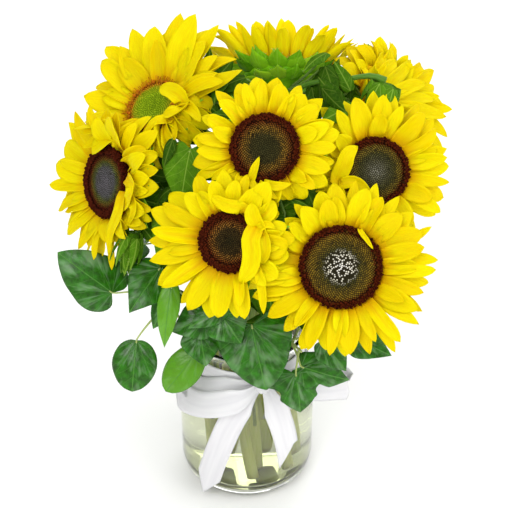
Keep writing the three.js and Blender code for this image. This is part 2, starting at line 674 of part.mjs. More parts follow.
const sprays = [
  {
    name: 'ivy_front', neck: [7, -45], vine: [[10, -62, 206], [4, -82, 238]],
    leaves: [
      { base: [5, -88, 247], tip: [16, -111, 190], width: 64, outline: 'broad' },
      { base: [-21, -96, 264], tip: [-5, -106, 240], width: 40 },
      { base: [-17, -90, 272], tip: [-51, -101, 255], width: 22, outline: 'narrow' },
    ],
  },
  {
    name: 'ivy_front_right', neck: [27, -37], vine: [[38, -58, 204], [50, -76, 206]],
    leaves: [
      { base: [45, -82, 185], tip: [51, -87, 142], width: 54, outline: 'lobed' },
      { base: [50, -78, 190], tip: [95, -72, 166], width: 34, outline: 'lobed' },
      { base: [68, -80, 223], tip: [90, -93, 197], width: 28, outline: 'narrow' },
    ],
  },
  {
    name: 'ivy_right', neck: [44, -12], vine: [[66, -30, 206], [88, -52, 216]],
    leaves: [
      { base: [95, -70, 219], tip: [131, -82, 206], width: 32 },
      { base: [96, -18, 232], tip: [132, -8, 205], width: 44, face: [0.6, -0.3, 0.75] },
      { base: [84, 22, 240], tip: [118, 46, 214], width: 42, face: [0.6, 0.3, 0.75] },
    ],
  },
  {
    name: 'ivy_front_left', neck: [-29, -35], vine: [[-36, -56, 204], [-38, -74, 236]],
    leaves: [
      { base: [-34, -84, 254], tip: [-66, -87, 238], width: 36 },
      { base: [-41, -82, 232], tip: [-37, -94, 204], width: 38 },
      { base: [-50, -68, 199], tip: [-69, -83, 160], width: 32 },
      { base: [-65, -80, 286], tip: [-74, -104, 234], width: 20, outline: 'narrow' },
    ],
  },
  {
    name: 'ivy_left', neck: [-44, -12], vine: [[-62, -34, 212], [-82, -52, 262]],
    leaves: [
      { base: [-76, -60, 289], tip: [-103, -83, 256], width: 44 },
      { base: [-121, -48, 252], tip: [-168, -36, 289], width: 50, outline: 'broad' },
      { base: [-100, -62, 208], tip: [-104, -86, 166], width: 42, outline: 'broad' },
      { base: [-66, -64, 266], tip: [-84, -79, 235], width: 24, outline: 'narrow' },
    ],
  },
  {
    name: 'ivy_back_left', neck: [-34, 31], vine: [[-52, 54, 212], [-74, 70, 244]],
    leaves: [
      { base: [-84, 82, 256], tip: [-122, 108, 232], width: 46, face: [-0.5, 0.4, 0.75] },
      { base: [-66, 84, 222], tip: [-84, 120, 186], width: 42, face: [-0.4, 0.6, 0.7] },
      { base: [-96, 36, 244], tip: [-134, 40, 214], width: 44, face: [-0.65, 0.1, 0.75] },
    ],
  },
  {
    name: 'ivy_back_right', neck: [28, 37], vine: [[36, 62, 210], [44, 84, 236]],
    leaves: [
      { base: [52, 96, 246], tip: [70, 134, 218], width: 46, face: [0.3, 0.6, 0.75] },
      { base: [26, 90, 214], tip: [18, 124, 176], width: 44, face: [0, 0.7, 0.7] },
      { base: [-4, 96, 240], tip: [-22, 132, 206], width: 44, face: [-0.2, 0.7, 0.7] },
    ],
  },
];

// A bud: an egg with pointed bracts laid along it.
function budSolid({ foot, axis, radius, length }) {
  const out = vector(...axis).normalize();
  const side = out.clone().cross(vector(0.2, 0.3, 1)).normalize();
  const matrix = new THREE.Matrix4().makeBasis(side, out.clone().cross(side), out);
  matrix.setPosition(...foot);
  const profile = [[0, 0], [0.8, 0.1], [1, 0.4], [0.7, 0.75], [0, 1]]
    .map(([across, up]) => [across * radius, up * length]);
  const egg = turned(profile, 8, (positions, rows) => {
    for (let k = 0; k < positions.count; k += 1) {
      const swell = (Math.floor(k / rows) % 8) % 2 === 0 ? 1 : 0.84; // the edges of the bracts that wrap it
      positions.setX(k, positions.getX(k) * swell);
      positions.setY(k, positions.getY(k) * swell);
    }
  });
  const bracts = [0, 1, 2].map((k) => {
    const bract = {
      angle: (2 * Math.PI * k) / 3, root: 0.5 * radius, height: 0.16 * length,
      lean: radians(30), bend: radians(70), length: 0.9 * length,
    };
    return blade(bladeLine(bract), [0, 0.4], bractHalf(radius), bractShape.thickness, 0);
  });
  return moved(union([egg, ...bracts], evening.stems), matrix);
}

// ---- Assembly ----------------------------------------------------------------------------------

const jarSolid = makeJar();
place('jar', jarSolid);
addMesh(model, 'glass_jar', jarSolid, glassFinish);

const ribbonSolid = makeRibbon();
place('ribbon', ribbonSolid);
addMesh(model, 'satin_ribbon', ribbonSolid, ribbonFinish);

const holes = [];
const greens = new Map(); // each bloom's name to the solids of its stem, calyx, bracts, buds and leaves
const heads = new Map(); // and to the group in which its disc and petals stand

function addGreen(name, solid) {
  greens.get(name).push(solid);
  place(`${name}_stem`, solid);
}

for (const bloom of blooms) {
  const matrix = bloomMatrix(bloom);
  const points = stemPoints(bloom);
  greens.set(bloom.name, []);
  addGreen(bloom.name, rod(points, stemRadius, stemSides, stemSteps).trimByPlane(...floorPlane));
  addGreen(bloom.name, moved(makeCalyx(bloom), matrix));
  holes.push(rod(points, stemRadius + holeGap, stemSides, stemSteps));
  const own = { [`${bloom.name}_stem`]: 0 };
  bractList(bloom).map((bract) => moved(bractSolid(bract), matrix))
    .filter((solid) => isClear(solid, gap, own))
    .forEach((solid) => addGreen(bloom.name, solid));
  const disc = makeDisc(bloom);
  place(`${bloom.name}_disc`, moved(disc, matrix));
  const head = new THREE.Group();
  head.applyMatrix4(matrix);
  heads.set(bloom.name, head);
  model.add(head);
  addMesh(head, `${bloom.name}_disc`, disc, discFinish);
}

// A point on the stem of a bloom, at a share of its length from the calyx.
function seatOn(name, share) {
  return onRod(stemPoints(blooms.find((bloom) => bloom.name === name)), stemSteps, share);
}

for (const bud of buds) {
  addGreen(bud.on, budSolid(bud));
  const from = seatOn(bud.on, bud.seat);
  const foot = vector(...bud.foot);
  const out = vector(...bud.axis).normalize();
  const middle = from.clone().lerp(foot, 0.6).addScaledVector(out, -8);
  const route = [from, middle, foot.clone().addScaledVector(out, 3)];
  const own = { [`${bud.on}_stem`]: 0 };
  const stalk = routeTries(route, 1).map((points) => rod(points, budStalk, 4, 4))
    .find((solid) => isClear(solid, gap, own));
  addGreen(bud.on, stalk);
}

for (const bloom of blooms) {
  const matrix = bloomMatrix(bloom);
  const name = `${bloom.name}_petals`;
  const own = { [`${bloom.name}_stem`]: 0.2, [`${bloom.name}_disc`]: 0.2, [name]: 0 };
  const [inner, outer] = [bloom.disc - ring.under, bloom.disc + ring.beyond];
  const [low, high] = [gap, gap + ring.height];
  const section = [[inner, low], [outer, low], [outer, high], [inner, high], [inner, low]];
  const parts = [turned(section, bloomSides)];
  place(name, moved(parts[0], matrix));
  for (const petal of petalList(bloom)) {
    const tries = lengthSteps.flatMap((scale) => leanSteps.map((step) => petalSolid({
      ...petal, length: petal.length * scale, lean: petal.lean + radians(step),
    })));
    const fitting = tries.find((solid) => isClear(moved(solid, matrix), gap, own));
    if (fitting) {
      parts.push(fitting);
      place(name, moved(fitting, matrix));
    }
  }
  addMesh(heads.get(bloom.name), name, union(parts, evening.petals), petalFinish);
}

// A leaf and its stalk, from a point on what carries it, bent clear of everything but that.
function addLeaf(owner, from, leaf, stalkRadius, add) {
  const own = { [owner]: 0 };
  for (const tried of leafTries({ outline: 'ovate', face: frontFace, fold: 0.16, arch: 0.1, ...leaf })) {
    const solid = leafSolid(tried);
    if (!isClear(solid, gap, own)) continue;
    const { at } = leafSurface(tried);
    const rise = vector(0, 0, 0.08 * from.distanceTo(at(0, 0)));
    const route = [from, from.clone().lerp(at(0, 0), 0.5).add(rise), at(0, 0), at(0.05, 0)];
    const stalk = routeTries(route, 1).map((points) => rod(points, stalkRadius, 3, 3))
      .find((rodSolid) => isClear(rodSolid, gap, own));
    if (!stalk) continue;
    add(union([solid, stalk], evening.leaves));
    return;
  }
}

for (const leaf of stemLeaves) {
  const add = (solid) => addGreen(leaf.on, solid);
  addLeaf(`${leaf.on}_stem`, seatOn(leaf.on, leaf.seat), leaf, leafStalk, add);
}

for (const spray of sprays) {
  const parts = [];
  const add = (solid) => {
    parts.push(solid);
    place(spray.name, solid);
  };
  const [x, y] = spray.neck;
  const above = spray.vine.map((point) => vector(...point));
  const route = [vector(x, y, ivy.foot), vector(x, y, neckLevel), ...above];
  const vineRod = (points, radius) => rod(points, radius, ivy.sides, ivy.steps);
  const vine = routeTries(route, 2).find((points) => isClear(vineRod(points, ivy.vine), gap));
  add(vineRod(vine, ivy.vine));
  const below = vine[0].clone().setZ(ivy.foot - holeGap);
  holes.push(vineRod([below, ...vine.slice(1)], ivy.vine + holeGap));
  spray.leaves.forEach((leaf, k) => {
    const seat = onRod(vine, ivy.steps, 0.97 - 0.07 * k);
    addLeaf(spray.name, seat, leaf, ivy.stalk, add);
  });
  addMesh(model, spray.name, union(parts, evening.leaves), ivyFinish);
}

for (const { name } of blooms) {
  addMesh(model, `${name}_stem`, union(greens.get(name), evening.stems), greenFinish);
}

addMesh(model, 'water', makeWaterBody().subtract(wasm.Manifold.union(holes)), waterFinish);

export default model;
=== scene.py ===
import math

import bpy
import numpy as np
from mathutils import Matrix, Vector
from mathutils.bvhtree import BVHTree


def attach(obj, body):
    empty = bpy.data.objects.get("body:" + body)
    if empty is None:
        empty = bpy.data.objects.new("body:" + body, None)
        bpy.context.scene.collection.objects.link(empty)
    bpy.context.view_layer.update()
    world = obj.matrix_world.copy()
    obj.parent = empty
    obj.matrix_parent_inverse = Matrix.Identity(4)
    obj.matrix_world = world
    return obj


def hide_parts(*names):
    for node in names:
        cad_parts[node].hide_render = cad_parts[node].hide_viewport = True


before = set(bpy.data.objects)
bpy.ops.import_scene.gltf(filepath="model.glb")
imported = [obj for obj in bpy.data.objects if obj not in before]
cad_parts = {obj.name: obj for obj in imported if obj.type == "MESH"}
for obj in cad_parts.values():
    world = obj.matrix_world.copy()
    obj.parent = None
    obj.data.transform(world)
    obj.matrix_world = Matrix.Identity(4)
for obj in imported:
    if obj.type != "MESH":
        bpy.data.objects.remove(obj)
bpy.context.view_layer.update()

print("frame loaded:", len(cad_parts), "nodes")

# Shapes are worked out in millimetres and become metres when a piece is made.
mm = 0.001
radians = math.radians
rng = np.random.default_rng


# Camera, lamps and floor. Places are in metres here, lamp powers in watts.
cameraSetup = {"place": (0.007, -1.2434, 1.1969), "lookDown": 37.01, "lens": 119.775, "sensor": 36}
studio = {
    "world": 0.68, "floor": "#FBFBFA", "floorSize": 40.0, "floorHeight": -0.0005, "aim": (0, 0, 0.25),
    "lamps": [  # name, place, size and power
        ("keyLight", (-0.5, -1.5, 1.75), 1.1, 23.5),
        ("fillLight", (1.5, -0.8, 1.4), 1.6, 17.5),
        ("rearLight", (0.2, 1.4, 1.7), 1.8, 18.5),
    ],
}


def linear(hexColour):
    parts = [int(hexColour[k:k + 2], 16) / 255 for k in (1, 3, 5)]
    return tuple(c / 12.92 if c <= 0.04045 else ((c + 0.055) / 1.055) ** 2.4 for c in parts) + (1,)


def addNode(material, kind, inputs=None, **settings):
    node = material.node_tree.nodes.new("ShaderNode" + kind)
    for name, value in settings.items():
        setattr(node, name, value)
    for name, value in (inputs or {}).items():
        socket = node.inputs[name]
        if isinstance(value, bpy.types.NodeSocket):
            material.node_tree.links.new(value, socket)
        else:
            socket.default_value = value
    return node


def newMaterial(name):
    material = bpy.data.materials.new(name)
    material.use_nodes = True
    shader = material.node_tree.nodes["Principled BSDF"]
    return material, shader, material.node_tree.links.new


def makeStudio():
    bpy.ops.object.select_all(action="DESELECT")
    tilt = radians(90 - cameraSetup["lookDown"])
    bpy.ops.object.camera_add(location=cameraSetup["place"], rotation=(tilt, 0, 0))
    camera = bpy.context.object
    camera.name = "camera"
    camera.data.lens = cameraSetup["lens"]
    camera.data.sensor_width = cameraSetup["sensor"]
    bpy.context.scene.camera = camera
    bpy.context.scene.view_settings.view_transform = "Standard"

    world = bpy.data.worlds.new("studioLight")
    world.use_nodes = True
    world.node_tree.nodes["Background"].inputs["Color"].default_value = linear("#FFFFFF")
    world.node_tree.nodes["Background"].inputs["Strength"].default_value = studio["world"]
    bpy.context.scene.world = world

    for name, where, size, power in studio["lamps"]:
        bpy.ops.object.light_add(type="AREA", location=where)
        lamp = bpy.context.object
        lamp.name = name
        lamp.data.size = size
        lamp.data.energy = power
        aim = Vector(studio["aim"]) - Vector(where)
        lamp.rotation_euler = aim.to_track_quat("-Z", "Y").to_euler()

    bpy.ops.mesh.primitive_plane_add(size=studio["floorSize"], location=(0, 0, studio["floorHeight"]))
    floor = bpy.context.object
    floor.name = "floor"
    material, shader, _ = newMaterial("mattWhitePaper")  # seamless studio paper, dull and even
    shader.inputs["Base Color"].default_value = linear(studio["floor"])
    shader.inputs["Roughness"].default_value = 0.9
    floor.data.materials.append(material)


makeStudio()
print("studio ready")


# The points and faces of one piece while it is put together.
class growingMesh:
    def __init__(self):
        self.points, self.faces, self.slots, self.uv, self.values = [], [], [], [], []
        self.count = 0

    # values are three numbers for each point, or three for all: tone, share and pick
    def add(self, points, faces, slot=0, uv=None, values=(0, 0, 0)):
        points = np.asarray(points, float).reshape(-1, 3)
        used = sorted({k for face in faces for k in face})
        renumbered = {old: new + self.count for new, old in enumerate(used)}
        self.points.append(points[used])
        self.faces += [tuple(renumbered[k] for k in face) for face in faces]
        self.slots += [slot] * len(faces)
        flat = np.zeros((len(points), 2)) if uv is None else np.asarray(uv, float).reshape(-1, 2)
        self.uv.append(flat[used])
        spread = np.asarray(values, float)
        spread = np.tile(spread, (len(points), 1)) if spread.ndim == 1 else spread
        self.values.append(spread[used])
        self.count += len(used)

    def piece(self, name, materials):
        mesh = bpy.data.meshes.new(name)
        points = np.concatenate(self.points) * mm
        mesh.from_pydata(points.tolist(), [], self.faces)
        for material in materials:
            mesh.materials.append(material)
        mesh.polygons.foreach_set("material_index", self.slots)
        corners = np.zeros(len(mesh.loops), int)
        mesh.loops.foreach_get("vertex_index", corners)
        layer = mesh.uv_layers.new(name="flat")
        layer.data.foreach_set("uv", np.concatenate(self.uv)[corners].ravel())
        values = np.concatenate(self.values)
        for column, title in enumerate(("tone", "share", "pick")):
            attribute = mesh.attributes.new(title, "FLOAT", "POINT")
            attribute.data.foreach_set("value", values[:, column].astype(np.float32))
        mesh.polygons.foreach_set("use_smooth", [True] * len(mesh.polygons))
        mesh.update()
        made = bpy.data.objects.new(name, mesh)
        bpy.context.scene.collection.objects.link(made)
        return made


# A thin closed shell through a grid of points, rows along it and columns across it.
def bladeShell(grid, thickness, pointed=(False, True)):
    rows, columns = grid.shape[:2]
    normal = np.cross(np.gradient(grid, axis=1), np.gradient(grid, axis=0))
    if pointed[0]:
        normal[0] = normal[1].mean(axis=0)
    if pointed[1]:
        normal[-1] = normal[-2].mean(axis=0)
    normal /= np.maximum(np.linalg.norm(normal, axis=2, keepdims=True), 1e-9)
    offset = normal * thickness / 2
    points = np.concatenate([grid + offset, grid - offset]).reshape(-1, 3)
    top = np.arange(rows * columns).reshape(rows, columns)
    if pointed[0]:
        top[0] = top[0, 0]
    if pointed[1]:
        top[-1] = top[-1, 0]
    under = top + rows * columns
    faces = []
    for i in range(rows - 1):
        for j in range(columns - 1):
            faces.append((top[i, j], top[i, j + 1], top[i + 1, j + 1], top[i + 1, j]))
            faces.append((under[i, j], under[i + 1, j], under[i + 1, j + 1], under[i, j + 1]))
        faces.append((top[i, 0], top[i + 1, 0], under[i + 1, 0], under[i, 0]))
        faces.append((top[i + 1, -1], top[i, -1], under[i, -1], under[i + 1, -1]))
    for j in range(columns - 1):
        if not pointed[0]:
            faces.append((top[0, j + 1], top[0, j], under[0, j], under[0, j + 1]))
        if not pointed[1]:
            faces.append((top[-1, j], top[-1, j + 1], under[-1, j + 1], under[-1, j]))
    faces = [tuple(dict.fromkeys(int(k) for k in face)) for face in faces]
    return points, [face for face in faces if len(face) > 2]


# The faces between the points of a grid, given row by row.
def gridFaces(grid):
    rows, columns = grid.shape[:2]
    at = lambda i, j: i * columns + j
    cells = [(i, j) for i in range(rows - 1) for j in range(columns - 1)]
    return [(at(i, j), at(i, j + 1), at(i + 1, j + 1), at(i + 1, j)) for i, j in cells]


# A closed lathe round Z from (radius, height) pairs, from the axis back to the axis.
def latheShell(profile, sides):
    turns = np.linspace(0, 2 * np.pi, sides, endpoint=False)
    points = [(0, 0, profile[0][1])]
    for radius, height in profile[1:-1]:
        points += [(radius * math.cos(t), radius * math.sin(t), height) for t in turns]
    points.append((0, 0, profile[-1][1]))
    last = len(points) - 1
    ring = lambda row, k: 1 + row * sides + k % sides
    top = len(profile) - 3
    faces = [(0, ring(0, k + 1), ring(0, k)) for k in range(sides)]
    for low in range(top):
        high = low + 1
        faces += [(ring(low, k), ring(low, k + 1), ring(high, k + 1), ring(high, k)) for k in range(sides)]
    faces += [(last, ring(top, k), ring(top, k + 1)) for k in range(sides)]
    return np.array(points, float), faces


# A closed ring round Z, from the corners of its section in order.
def ringShell(section, sides):
    turns = np.linspace(0, 2 * np.pi, sides, endpoint=False)
    points = [(r * math.cos(t), r * math.sin(t), h) for t in turns for r, h in section]
    n = len(section)
    at = lambda k, j: (k % sides) * n + j % n
    spots = [(k, j) for k in range(sides) for j in range(n)]
    faces = [(at(k, j), at(k + 1, j), at(k + 1, j + 1), at(k, j + 1)) for k, j in spots]
    return np.array(points), faces


# A smooth curve through points, as evenly spaced points (centripetal Catmull-Rom, as in the model),
# worked out from some samples between each two points.
def smoothCurve(points, steps, samples=24):
    p = [Vector(q) for q in points]
    p = [2 * p[0] - p[1]] + p + [2 * p[-1] - p[-2]]
    dense = []
    for k in range(1, len(p) - 2):
        a, b, c, d = p[k - 1:k + 3]
        t0 = 0.0
        t1 = t0 + math.sqrt(max((b - a).length, 1e-6))
        t2 = t1 + math.sqrt(max((c - b).length, 1e-6))
        t3 = t2 + math.sqrt(max((d - c).length, 1e-6))
        for t in np.linspace(t1, t2, samples, endpoint=k == len(p) - 3):
            ab = a * ((t1 - t) / (t1 - t0)) + b * ((t - t0) / (t1 - t0))
            bc = b * ((t2 - t) / (t2 - t1)) + c * ((t - t1) / (t2 - t1))
            cd = c * ((t3 - t) / (t3 - t2)) + d * ((t - t2) / (t3 - t2))
            abc = ab * ((t2 - t) / (t2 - t0)) + bc * ((t - t0) / (t2 - t0))
            bcd = bc * ((t3 - t) / (t3 - t1)) + cd * ((t - t1) / (t3 - t1))
            dense.append(abc * ((t2 - t) / (t2 - t1)) + bcd * ((t - t1) / (t2 - t1)))
    dense = np.array([tuple(q) for q in dense])
    run = runOf(dense)
    even = np.linspace(0, run[-1], steps + 1)
    return np.stack([np.interp(even, run, dense[:, axis]) for axis in range(3)], axis=1)


# How far along a path each of its points is.
def runOf(path):
    return np.concatenate([[0], np.cumsum(np.linalg.norm(np.diff(path, axis=0), axis=1))])


def unit(vectors):
    return vectors / np.linalg.norm(vectors, axis=-1, keepdims=True)


# A closed tube along a curve; radii is one number or one for each point.
def tubeShell(path, radii, sides):
    path = np.asarray(path, float)
    count = len(path)
    radii = np.broadcast_to(np.asarray(radii, float), (count,))
    along = unit(np.gradient(path, axis=0))
    side = np.cross(along[0], (0.3, 0.2, 1.0))  # any way that isn't along the path
    turns = np.linspace(0, 2 * np.pi, sides, endpoint=False)
    rings = []
    for k in range(count):
        side = unit(side - along[k] * side.dot(along[k]))
        other = np.cross(along[k], side)
        rings.append(path[k] + radii[k] * (np.outer(np.cos(turns), side) + np.outer(np.sin(turns), other)))
    points = np.concatenate(rings + [path[:1], path[-1:]])
    at = lambda row, k: row * sides + k % sides
    faces = []
    for row in range(count - 1):
        faces += [(at(row, k), at(row, k + 1), at(row + 1, k + 1), at(row + 1, k)) for k in range(sides)]
    faces += [(count * sides, at(0, k + 1), at(0, k)) for k in range(sides)]
    faces += [(count * sides + 1, at(count - 1, k), at(count - 1, k + 1)) for k in range(sides)]
    return points, faces


def turned(points, matrix):
    return np.asarray(points) @ np.array(matrix.to_3x3()).T + np.array(matrix.translation)


# What is placed so far, as coarse shapes that new pieces are kept clear of: owner, tree and box.
placed = []


def treeOf(points, faces):
    return BVHTree.FromPolygons([tuple(p) for p in points], faces)


def place(owner, points, faces):
    points = np.asarray(points, float).reshape(-1, 3)
    placed.append((owner, treeOf(points, faces), points.min(axis=0), points.max(axis=0)))


# How many faces of the placed shapes a coarse shape crosses, counted until it is over the limit.
def crossings(points, faces, ignored=(), limit=999):
    points = np.asarray(points, float).reshape(-1, 3)
    low, high = points.min(axis=0), points.max(axis=0)
    tree, found = None, 0
    for owner, other, otherLow, otherHigh in placed:
        if owner in ignored or (low > otherHigh).any() or (otherLow > high).any():
            continue
        tree = tree or treeOf(points, faces)
        found += len(tree.overlap(other))
        if found > limit:
            break
    return found


# The first of the candidates whose coarse shape (points, faces) crosses the fewest faces.
def clearest(candidates, ignored=()):
    best, fewest = None, math.inf
    for candidate, (points, faces) in candidates:
        found = crossings(points, faces, ignored, fewest)
        if found < fewest:
            best, fewest = candidate, found
        if fewest == 0:
            break
    return best


# Blooms, with places and sizes as in the model. Azimuth and elevation are the way a bloom faces, rows the petals
# in each row, and neck is where the stem passes the jar's neck. A curl is a stretch round the disc in degrees,
# what it adds to the petals' lean and bend, and the share of the length that they keep. Pale lightens all of a
# bloom's petals: painted light on the bloom that is seen from behind.
blooms = {
    "low_right": {
        "seed": 11, "centre": (81, -100, 321), "azimuth": -4, "elevation": 38, "disc": 34.5, "crown": 1.5,
        "rows": (23, 24, 8), "length": 42, "width": 17, "lean": 30, "bend": -26, "neck": (18, -30),
        "curls": [(100, 165, 14, 20, 0.82), (-60, 30, -3, 4, 1.12)], "florets": "speckled",
    },
    "centre": {
        "seed": 23, "centre": (16, -50, 409), "azimuth": -3, "elevation": 36, "disc": 28.5, "crown": 0.5,
        "rows": (19, 20, 7), "length": 32, "width": 16.5, "lean": 26, "bend": -22, "neck": (2, -8),
        "curls": [(225, 300, 16, -60, 0.68), (205, 320, 14, -60, 0.85)], "florets": "dark",
    },
    "low_left": {
        "seed": 37, "centre": (-14, -95, 344), "azimuth": -12, "elevation": 26, "disc": 25.5, "crown": -3,
        "rows": (16, 16, 4), "length": 46, "width": 18.5, "lean": 24, "bend": -22, "neck": (-14, -26),
        "curls": [(-60, 50, 12, -50, 0.6), (50, 105, 20, -20, 0.75), (105, 148, 4, -6, 0.78)],
        "florets": "golden",
    },
    "right": {
        "seed": 41, "centre": (113, -30, 372), "azimuth": 15, "elevation": 34, "disc": 28.7, "crown": 0.5,
        "rows": (18, 19, 6), "length": 40, "width": 16.5, "lean": 28, "bend": -24, "neck": (33, -4),
        "curls": [(140, 230, 16, -20, 0.9), (230, 300, 20, -40, 0.9)], "florets": "grey",
    },
    "top_left": {
        "seed": 67, "centre": (-83, 30, 402), "azimuth": -55, "elevation": 55, "disc": 24, "crown": 1,
        "rows": (22, 23, 9), "length": 50, "width": 21.5, "lean": 34, "bend": -26, "neck": (-20, 14),
        "curls": [(-95, 40, 20, -110, 0.8), (88, 118, -4, 14, 1.4), (40, 88, -4, 14, 1.2),
                  (118, 188, -2, 8, 1.14), (188, 235, -2, 4, 0.92), (235, 255, -2, 8, 1.1)],
        "florets": "green",
    },
    "left": {
        "seed": 53, "centre": (-124, -10, 347), "azimuth": -54, "elevation": 22, "disc": 31, "crown": 1,
        "rows": (24, 25, 8), "length": 42, "width": 18, "lean": 26, "bend": -22, "neck": (-34, -2),
        "curls": [(-60, 60, 22, -60, 0.75), (95, 250, -3, 6, 1.1)], "florets": "velvet",
    },
    "top_right": {
        "seed": 79, "centre": (128, 60, 394), "azimuth": 55, "elevation": 45, "disc": 26, "crown": 1,
        "rows": (18, 18, 8), "length": 42, "width": 16, "lean": 34, "bend": -24, "neck": (26, 20),
        "curls": [(130, 235, 60, 10, 0.95), (5, 130, 0, 0, 0.72), (265, 345, -8, 0, 1.1)], "florets": "dark",
    },
    "top_back": {
        "seed": 83, "centre": (35, 95, 399), "azimuth": 175, "elevation": 40, "disc": 40, "crown": 2,
        "rows": (29, 29, 6), "length": 42, "width": 13.5, "lean": 62, "bend": -22, "neck": (8, 30),
        "curls": [], "florets": "speckled", "pale": 0.5,
    },
}
head = {"discFace": 8, "discLift": 2.8, "ringHeight": 2.2, "ringWidth": 3, "ringBeyond": 1.2, "stem": 4.8}
gap = 0.3  # between a bloom's calyx, disc and petals


def outOf(bloom):
    turn, tip = radians(bloom["azimuth"]), radians(bloom["elevation"])
    return Vector((math.sin(turn) * math.cos(tip), -math.cos(turn) * math.cos(tip), math.sin(tip)))


def bloomMatrix(bloom):
    out = outOf(bloom)
    right = Vector((0, 0, 1)).cross(out).normalized()
    matrix = Matrix((right, out.cross(right), out)).transposed().to_4x4()
    matrix.translation = Vector(bloom["centre"]) - out * head["discFace"]
    return matrix


# How a petal is shaped, and what is tried when it crosses its neighbours.
petalShape = {
    "thickness": 0.4, "rowsAlong": 15, "columns": 9, "cup": (0.12, 0.55), "ribs": 0.34, "wave": 1.1,
    "stations": (0, 0.12, 0.3, 0.48, 0.64, 0.78, 0.88, 0.95, 1),
    "pointed": (0.68, 0.82, 0.97, 1.0, 0.88, 0.66, 0.42, 0.2, 0),
    "blunt": (0.62, 0.76, 0.93, 1.0, 0.97, 0.85, 0.62, 0.36, 0),
    "leanTries": (0, 6, -6, 12, -12, 18, -18, 26), "lengthTries": (1, 0.8), "liftTries": (0, 3, -3, 6),
    "coarse": (7, 3), "crumpledBend": 60,
}

# Petals folded over a disc or hanging off it: the middle line past the rim in the bloom's frame,
# width, how pointed, and tone.
foldedPetals = {
    "low_right": [
        (((15, 32, 12), (20, 25, 15), (27, 16, 13)), 5, 0.6, 0.6),
    ],
    "centre": [
        (((-11, -28, 11), (-8, -19, 15), (-4, -7, 14)), 9, 1, 0.5),
        (((-11, -28, 13), (-6, -35, 15), (-1, -44, 11)), 8, 1, 0.3),
        (((-4, -30, 12), (4, -37, 13), (13, -43, 9)), 8, 1, 0.2),
        (((1, -30, 12), (12, -32, 14), (24, -29, 12)), 9, 0.7, 0.4),
        (((-20, -26, 12), (-17, -35, 14), (-11, -43, 10)), 9, 0.6, 0.5),
    ],
    "low_left": [
        (((23, 17, 13), (20, 7, 17), (22, -5, 18), (21, -18, 17), (13, -34, 12)), 18, 0, 0.8),
        (((28, 11, 10), (33, -1, 14), (30, -15, 11)), 12, 0.3, 0.6),
        (((28, -22, 12), (32, -37, 10), (35, -59, 6)), 10, 0.5, 0.4),
        (((25, 15, 10), (20, 26, 15), (17, 37, 14)), 17, 0, 0.7),
        (((24, 15, 12), (31, 20, 13), (39, 17, 11)), 9, 0.6, 0.5),
        (((10, 31, 12), (-2, 32, 16), (-20, 38, 14)), 13, 0.3, 0.5),
    ],
    "right": [
        (((-36, -3, 10), (-31, 10, 16), (-27, 18, 18), (-15, 24, 15)), 18, 0.4, 0.4),
        (((-35, -6, 11), (-25, -6, 16), (-17, -13, 17), (-10, -24, 13)), 13, 0, 0.5),
    ],
    "top_right": [
        (((-13, 1, 11), (-1, -2, 15), (21, -6, 14), (40, -13, 12)), 16, 0.3, 0.4),
        (((-15, -4, 11), (-3, -9, 16), (18, -17, 15), (40, -30, 12)), 17, 0.2, 0.6),
        (((-9, 6, 12), (6, 8, 15), (30, 9, 13), (51, 12, 10)), 16, 0.4, 0.5),
        (((-8, 10, 12), (5, 16, 13), (24, 23, 10), (39, 30, 8)), 14, 0.7, 0.4),
        (((-15, -9, 12), (-4, -18, 15), (15, -31, 14), (39, -49, 10)), 17, 0.4, 0.5),
        (((-12, 17, 10), (-11, 29, 12), (-6, 38, 10)), 14, 0.3, 0.4),
        (((-3, 19, 12), (9, 20, 16), (30, 20, 13)), 15, 0.3, 0.4),
        (((-3, 23, 12), (7, 27, 14), (27, 32, 10)), 14, 0.4, 0.4),
    ],
    "top_left": [
        (((30, 19, 10), (21, 20, 16), (-1, 16, 15)), 19, 0, 0.8),
        (((35, 17, 11), (38, 8, 17), (25, -2, 15)), 16, 0, 0.6),
        (((33, 17, 10), (49, 18, 12), (60, 15, 8)), 14, 0.3, 0.4),
        (((15, 33, 9), (22, 46, 10), (36, 58, 9)), 10, 0.8, 0.5),
        (((35, 0, 11), (29, -11, 17), (28, -26, 15), (34, -45, 8)), 13, 0.4, 0.6),
        (((35, -1, 10), (50, -7, 11), (51, -17, 7), (59, -19, 5)), 9, 0.3, 0.4),
        (((27, -19, 12), (37, -31, 8), (42, -49, 0)), 10, 0.5, 0.3),
        (((7, -21, 12), (-3, -37, 12), (-21, -52, 8)), 14, 0.6, 0.6),
    ],
    "left": [
        (((29, 19, 12), (47, 20, 18), (44, 6, 18), (32, -13, 13)), 14, 0.2, 0.6),
        (((33, 7, 13), (38, -6, 16), (33, -28, 14), (33, -55, 8)), 12, 0.4, 0.5),
        (((42, 6, 12), (52, 1, 14), (44, -20, 10)), 11, 0.5, 0.4),
    ],
}


